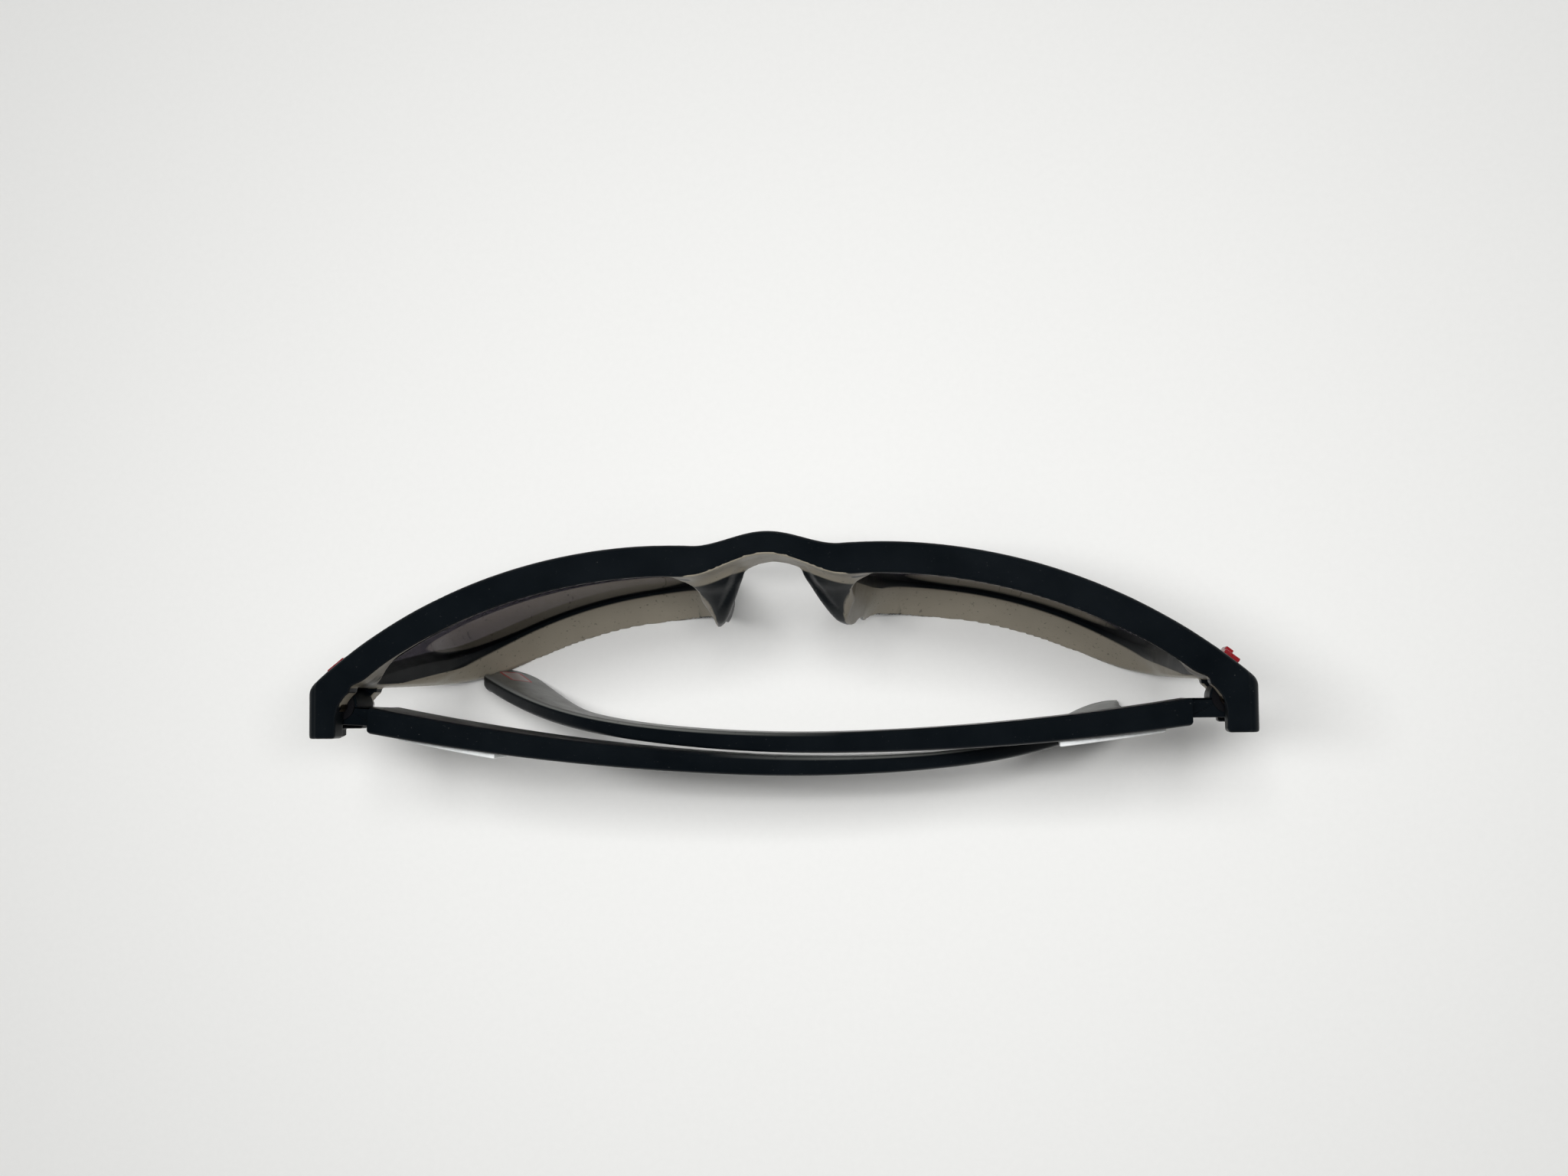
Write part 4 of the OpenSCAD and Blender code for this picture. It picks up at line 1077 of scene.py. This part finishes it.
def front_share(tree):
    """How much of the front's paler colour shows, partly its own two-tone and partly painted reflection of
    the pale room: its back, and what looks into an opening further back than the sill, the circle round the
    centre of the half's curve, found from the point's own place."""
    calc = partial(calculate, tree)
    back, inner = (add_node(tree, "ShaderNodeAttribute", attribute_name=name).outputs["Fac"]
                   for name in ("lining_and_sheen", "inner"))
    x, y, _ = parts_of(tree, object_place(tree))
    across = calc("SUBTRACT", calc("ABSOLUTE", x), CROWN_X * MM)
    deep = calc("SUBTRACT", y, (FACE_R - MIDDLE_Y) * MM)
    radius = calc("SQRT", calc("ADD", calc("MULTIPLY", across, across), calc("MULTIPLY", deep, deep)))
    past = calc("SUBTRACT", (LEDGE_R + SILL_CUT - SILL_LINE) * MM, radius)
    ledge = calc("MINIMUM", inner, calc("MULTIPLY", past, 1 / MM))
    return spread(tree, calc("MAXIMUM", back, ledge), 0.0, 1.0, -0.04, 0.06)


def arm_lay(tree):
    """Where a point of an arm lies: along it, up it, and how far it faces out."""
    lay = add_node(tree, "ShaderNodeAttribute", attribute_name="lay")
    return parts_of(tree, lay.outputs["Vector"])


def arm_sheen_share(tree):
    """Painted reflection on an arm: a paler grey on what faces in, fading in along the arm towards its tip.
    """
    along, _, facing = arm_lay(tree)
    inside = spread(tree, facing, 1.0, 0.0, -0.75, -0.6)
    return calculate(tree, "MULTIPLY", inside, spread(tree, along, 0.0, 1.0, 55.0, 90.0))


def add_label(material, outline, fill):
    """A blank label with a coloured outline inside the right arm's tip, which lies on the left when
    folded: distance to a rounded rectangle along and up the arm, as the length of what reaches past its
    inner corners less their radius."""
    tree = material.node_tree
    calc = partial(calculate, tree)
    colour = find_shader(tree).inputs["Base Color"]
    along, up, facing = arm_lay(tree)
    parts = []
    for value, middle, half in ((along, PATH_LEN - LABEL_FROM_TIP, LABEL_LEN / 2), (up, 0.0, LABEL_H / 2)):
        off = calc("ABSOLUTE", calc("SUBTRACT", value, middle))
        past = calc("MAXIMUM", calc("SUBTRACT", off, half - LABEL_R), 0.0)
        parts.append(calc("MULTIPLY", past, past))
    reach = calc("SQRT", calc("ADD", *parts))
    on_left = calc("GREATER_THAN", parts_of(tree, object_place(tree))["X"], 0.0)
    inside = calc("MULTIPLY", calc("LESS_THAN", facing, -LABEL_FACING), on_left)
    for radius, paint in ((LABEL_R, outline), (LABEL_R - LABEL_LINE, fill)):
        share = calc("MULTIPLY", calc("LESS_THAN", reach, radius), inside)
        tree.links.new(blend_colour(tree, share, colour.links[0].from_socket, paint), colour)


def darken_edges(material):
    """Less gloss on an arm's narrow edges than on its sides."""
    tree = material.node_tree
    off = calculate(tree, "ABSOLUTE", arm_lay(tree)[2])
    gloss = find_shader(tree).inputs["Specular IOR Level"]
    tree.links.new(spread(tree, off, 0.06, 0.28, 0.7, 0.95), gloss)


def smoke(name, tint):
    """Smoked lens: clear body with a grey tint, a weak tinted reflection and faint smears on its gloss."""
    material, tree, shader = new_material(name, {
        "Transmission Weight": 1.0, "IOR": 1.22, "Specular Tint": (0.62, 0.54, 0.74, 1.0)})
    tree.links.new(spread(tree, noise(tree, 130, 5), 0.0, 0.02), shader.inputs["Roughness"])
    tree.links.new(mottle(tree, 30, 2, tint, 0.93), shader.inputs["Base Color"])
    return material


def metal(name, colour, low, high, weight=1.0, gloss=0.5):
    """Plain metal, or hard enamel or nylon with no metal in it, with brushed gloss."""
    material, tree, shader = new_material(name, {"Metallic": weight, "Specular IOR Level": gloss})
    tree.links.new(mottle(tree, 700, 4, colour, 0.8), shader.inputs["Base Color"])
    tree.links.new(spread(tree, noise(tree, 1500, 3), low, high), shader.inputs["Roughness"])
    add_bump(tree, shader, noise(tree, 3000, 3), 0.08, 0.00003)
    return material


# Settings, operators and panel


def length(name, description, default, low, high):
    """A length setting, in metres."""
    return FloatProperty(name=name, description=description, default=default, min=low, max=high,
                         unit="LENGTH")


def colour(name, description, default):
    """A colour setting."""
    return FloatVectorProperty(name=name, description=description, default=default, min=0, max=1,
                               subtype="COLOR")


class SunglassesSettings(PropertyGroup):
    """Sizes and colours that a user would change."""

    edge_round: length("Front edges", "Rounding of the front's edges", 0.0006, 0.0003, 0.0012)
    pad_blend: length("Pad blend", "Fillet between a nose pad and its rim", 0.0042, 0.0005, 0.005)
    arm_round: length("Arm edges", "Rounding of an arm's edges at its hinge", 0.00055, 0.0003, 0.0012)
    tip_round: length("Tip edges", "Rounding of an arm's edges at its tip", 0.0008, 0.0004, 0.0012)
    lens_seat: length("Lens seat", "How far a lens reaches into its rim", 0.0003, 0.0, 0.001)
    small_round: length("Fittings", "Rounding of plates and studs", 0.0002, 0.0001, 0.0003)
    front_cell: length("Front detail", "Grid on which the front is worked out", 0.0004, 0.0003, 0.001)
    front_keep: FloatProperty(name="Front faces kept", description="Share of the front's faces that stay",
                              default=0.6, min=0.1, max=1.0, subtype="FACTOR")
    shell: colour("Shell", "Outside of front and arms", (0.0022, 0.0034, 0.0046))
    # Paler colour of the front's back and the insides of its rims: partly its own two-tone, partly painted
    # reflection of the pale room
    lining_and_sheen: colour("Lining", "Back of the front and inside of its rims", (0.28, 0.252, 0.2))
    # Grey painted on the arms' inner faces near the tips, a painted reflection of the pale floor
    arm_painted_sheen: colour("Arm lining", "Inner faces of the arms", (0.17, 0.175, 0.165))
    tint: colour("Lens tint", "Colour of a lens", (0.07, 0.061, 0.078))
    plate: colour("Plate", "Colour of the plates", (0.8, 0.82, 0.82))
    enamel: colour("Stud", "Colour of the studs", (0.25, 0.012, 0.018))
    label: colour("Label", "Colour of the blank label", (0.44, 0.375, 0.36))
    floor: colour("Floor", "Colour of the floor", (0.85, 0.85, 0.835))


class SUNGLASSES_OT_front(Operator):
    """Builds the front frame with its pads and end pieces"""

    bl_idname = "sunglasses.front"
    bl_label = "Front frame"

    def execute(self, context):
        s = context.scene.sunglasses
        front = make_front(s)
        # The front takes its paler colour, partly painted reflection, on faces that look back and into the
        # openings
        finish = moulded("front_nylon", tuple(s.shell), tuple(s.lining_and_sheen), front_share)
        set_piece(front, "front", ["front_frame"], finish)
        return {"FINISHED"}


class SUNGLASSES_OT_lenses(Operator):
    """Builds both lenses"""

    bl_idname = "sunglasses.lenses"
    bl_label = "Lenses"

    def execute(self, context):
        s = context.scene.sunglasses
        finish = smoke("smoked_lens", tuple(s.tint))
        for name, side, _ in SIDES:
            lens = make_lens("smoke_" + name, side, s.lens_seat / MM)
            set_piece(lens, "front", ["lens_" + name], finish)
        return {"FINISHED"}


class SUNGLASSES_OT_arms(Operator):
    """Builds both arms with their hinge tenons"""

    bl_idname = "sunglasses.arms"
    bl_label = "Arms"

    def execute(self, context):
        s = context.scene.sunglasses
        # Arms: dark shell, with a painted reflection in grey on their inner faces near the tips
        finish = moulded("arm_nylon", tuple(s.shell), tuple(s.arm_painted_sheen), arm_sheen_share)
        add_label(finish, shaded(s.enamel, 1.8), tuple(s.label))
        darken_edges(finish)
        for name, side, fold in SIDES:
            arm = make_arm("arm_shell_" + name, side, fold, s)
            set_piece(arm, "arm_" + name, ["temple_" + name], finish)
        return {"FINISHED"}


class SUNGLASSES_OT_fittings(Operator):
    """Builds plates and studs, and gives screws, inserts and washers their finish"""

    bl_idname = "sunglasses.fittings"
    bl_label = "Fittings"

    def execute(self, context):
        s = context.scene.sunglasses
        r = s.small_round / MM
        plate = metal("plate_lacquer", tuple(s.plate), 0.3, 0.45, 0.0)
        enamel = metal("stud_enamel_red", tuple(s.enamel), 0.2, 0.35, 0.0)
        kept = (
            ("hinge_screw_", metal("screw_steel_bright", (0.5, 0.5, 0.52), 0.25, 0.4)),
            ("screw_insert_", metal("insert_brass_dull", (0.1, 0.075, 0.045), 0.3, 0.45)),
            ("hinge_washers_", metal("washer_nylon_smoke", (0.006, 0.006, 0.007), 0.4, 0.55, 0.0, 0.12)),
        )
        for name, side, fold in SIDES:
            badge = make_badge("plate_" + name, side, fold, r)
            set_piece(badge, "arm_" + name, ["badge_" + name], plate)
            stud = make_stud("stud_" + name, side, r)
            set_piece(stud, "front", ["corner_stud_" + name], enamel)
            for start, finish in kept:
                node = frame["nodes"][start + name]
                node.data.materials.clear()
                node.data.materials.append(finish)
        return {"FINISHED"}


def pale_room():
    """A room that is pale near the horizon and dim overhead, the same for every ray."""
    world = bpy.data.worlds.new("room")
    world.use_nodes = True
    tree = world.node_tree
    background = next(n for n in tree.nodes if n.type == "BACKGROUND")
    direction = add_node(tree, "ShaderNodeTexCoord").outputs["Generated"]
    power = spread(tree, parts_of(tree, direction)["Z"], 0.86, 0.015, 0.12, 0.5)
    tree.links.new(power, background.inputs["Strength"])
    background.inputs["Color"].default_value = (1.0, 1.0, 0.985, 1.0)
    return world


def add_lamp(name, place, target, size, power):
    """A soft white lamp at a place, turned to a target, that lights without being seen itself, also in
    gloss."""
    data = bpy.data.lights.new(name, "AREA")
    data.shape = "RECTANGLE"
    data.size, data.size_y = size
    data.energy = power
    lamp = bpy.data.objects.new(name, data)
    bpy.context.scene.collection.objects.link(lamp)
    lamp.visible_camera = False
    lamp.visible_glossy = False
    z = np.array(place, float) - np.array(target, float)
    z /= np.linalg.norm(z)
    x = np.cross((0, 0, 1) if abs(z[2]) < 0.99 else (0, 1, 0), z)
    x /= np.linalg.norm(x)
    y = np.cross(z, x)
    turn = Matrix(np.stack([x, y, z], 1).tolist()).to_4x4()
    lamp.matrix_world = Matrix.Translation(place) @ turn


def turned_by(v):
    """Rotation about a vector by its length."""
    angle = np.linalg.norm(v)
    k = v / angle
    cross = np.array([[0, -k[2], k[1]], [k[2], 0, -k[0]], [-k[1], k[0], 0]])
    return np.eye(3) + math.sin(angle) * cross + (1 - math.cos(angle)) * cross @ cross


def add_floor(scene, pale):
    """A wide flat floor a hair below the part, in a pale matt colour."""
    mesh = bpy.data.meshes.new("floor")
    corners = [(x * FLOOR_REACH, y * FLOOR_REACH, 0) for x, y in ((-1, -1), (1, -1), (1, 1), (-1, 1))]
    mesh.from_pydata(corners, [], [(0, 1, 2, 3)])
    floor = bpy.data.objects.new("floor", mesh)
    scene.collection.objects.link(floor)
    floor.location = (0, 0, -FLOOR_DROP)
    material, tree, shader = new_material("pale_floor", {"Roughness": 0.7, "Specular IOR Level": 0.2})
    tree.links.new(mottle(tree, 900, 3, pale, 0.985), shader.inputs["Base Color"])
    mesh.materials.append(material)


def add_camera(scene):
    """The camera at the photograph's place and angle: looking down, its top to the front."""
    data = bpy.data.cameras.new("camera")
    data.lens, data.sensor_width, data.sensor_fit = CAMERA_LENS, SENSOR_W, "HORIZONTAL"
    data.clip_start, data.clip_end = 0.01, 20
    camera = bpy.data.objects.new("camera", data)
    scene.collection.objects.link(camera)
    rows = turned_by(CAMERA_TURN) * np.array([-1, -1, 1])
    camera.matrix_world = Matrix.Translation(CAMERA_PLACE) @ Matrix(rows.T.tolist()).to_4x4()
    scene.camera = camera


class SUNGLASSES_OT_stage(Operator):
    """Sets the floor, the soft light and the camera at the photograph's angle"""

    bl_idname = "sunglasses.stage"
    bl_label = "Floor, light and camera"

    def execute(self, context):
        scene = context.scene
        add_floor(scene, tuple(scene.sunglasses.floor))
        for name, values in LAMPS.items():
            add_lamp(name, *values)
        scene.world = pale_room()
        add_camera(scene)
        scene.view_settings.view_transform = "Standard"
        return {"FINISHED"}


class SUNGLASSES_PT_panel(Panel):
    """Lists the steps and the settings"""

    bl_label = "Sunglasses"
    bl_idname = "SUNGLASSES_PT_panel"
    bl_space_type = "VIEW_3D"
    bl_region_type = "UI"
    bl_category = "Sunglasses"

    def draw(self, context):
        settings = context.scene.sunglasses
        for name in settings.bl_rna.properties.keys():
            if name not in ("rna_type", "name"):
                self.layout.prop(settings, name)
        for operator in OPERATORS:
            self.layout.operator(operator.bl_idname)


OPERATORS = (
    SUNGLASSES_OT_front,
    SUNGLASSES_OT_lenses,
    SUNGLASSES_OT_arms,
    SUNGLASSES_OT_fittings,
    SUNGLASSES_OT_stage,
)
CLASSES = (SunglassesSettings, *OPERATORS, SUNGLASSES_PT_panel)


def register():
    """Adds the classes and the scene's settings."""
    for item in CLASSES:
        bpy.utils.register_class(item)
    bpy.types.Scene.sunglasses = PointerProperty(type=SunglassesSettings)


def unregister():
    """Takes them away again."""
    del bpy.types.Scene.sunglasses
    for item in reversed(CLASSES):
        bpy.utils.unregister_class(item)


def main():
    """Builds everything in order."""
    register()
    bpy.ops.sunglasses.front()
    bpy.ops.sunglasses.lenses()
    bpy.ops.sunglasses.arms()
    bpy.ops.sunglasses.fittings()
    bpy.ops.sunglasses.stage()


if __name__ == "__main__":
    main()
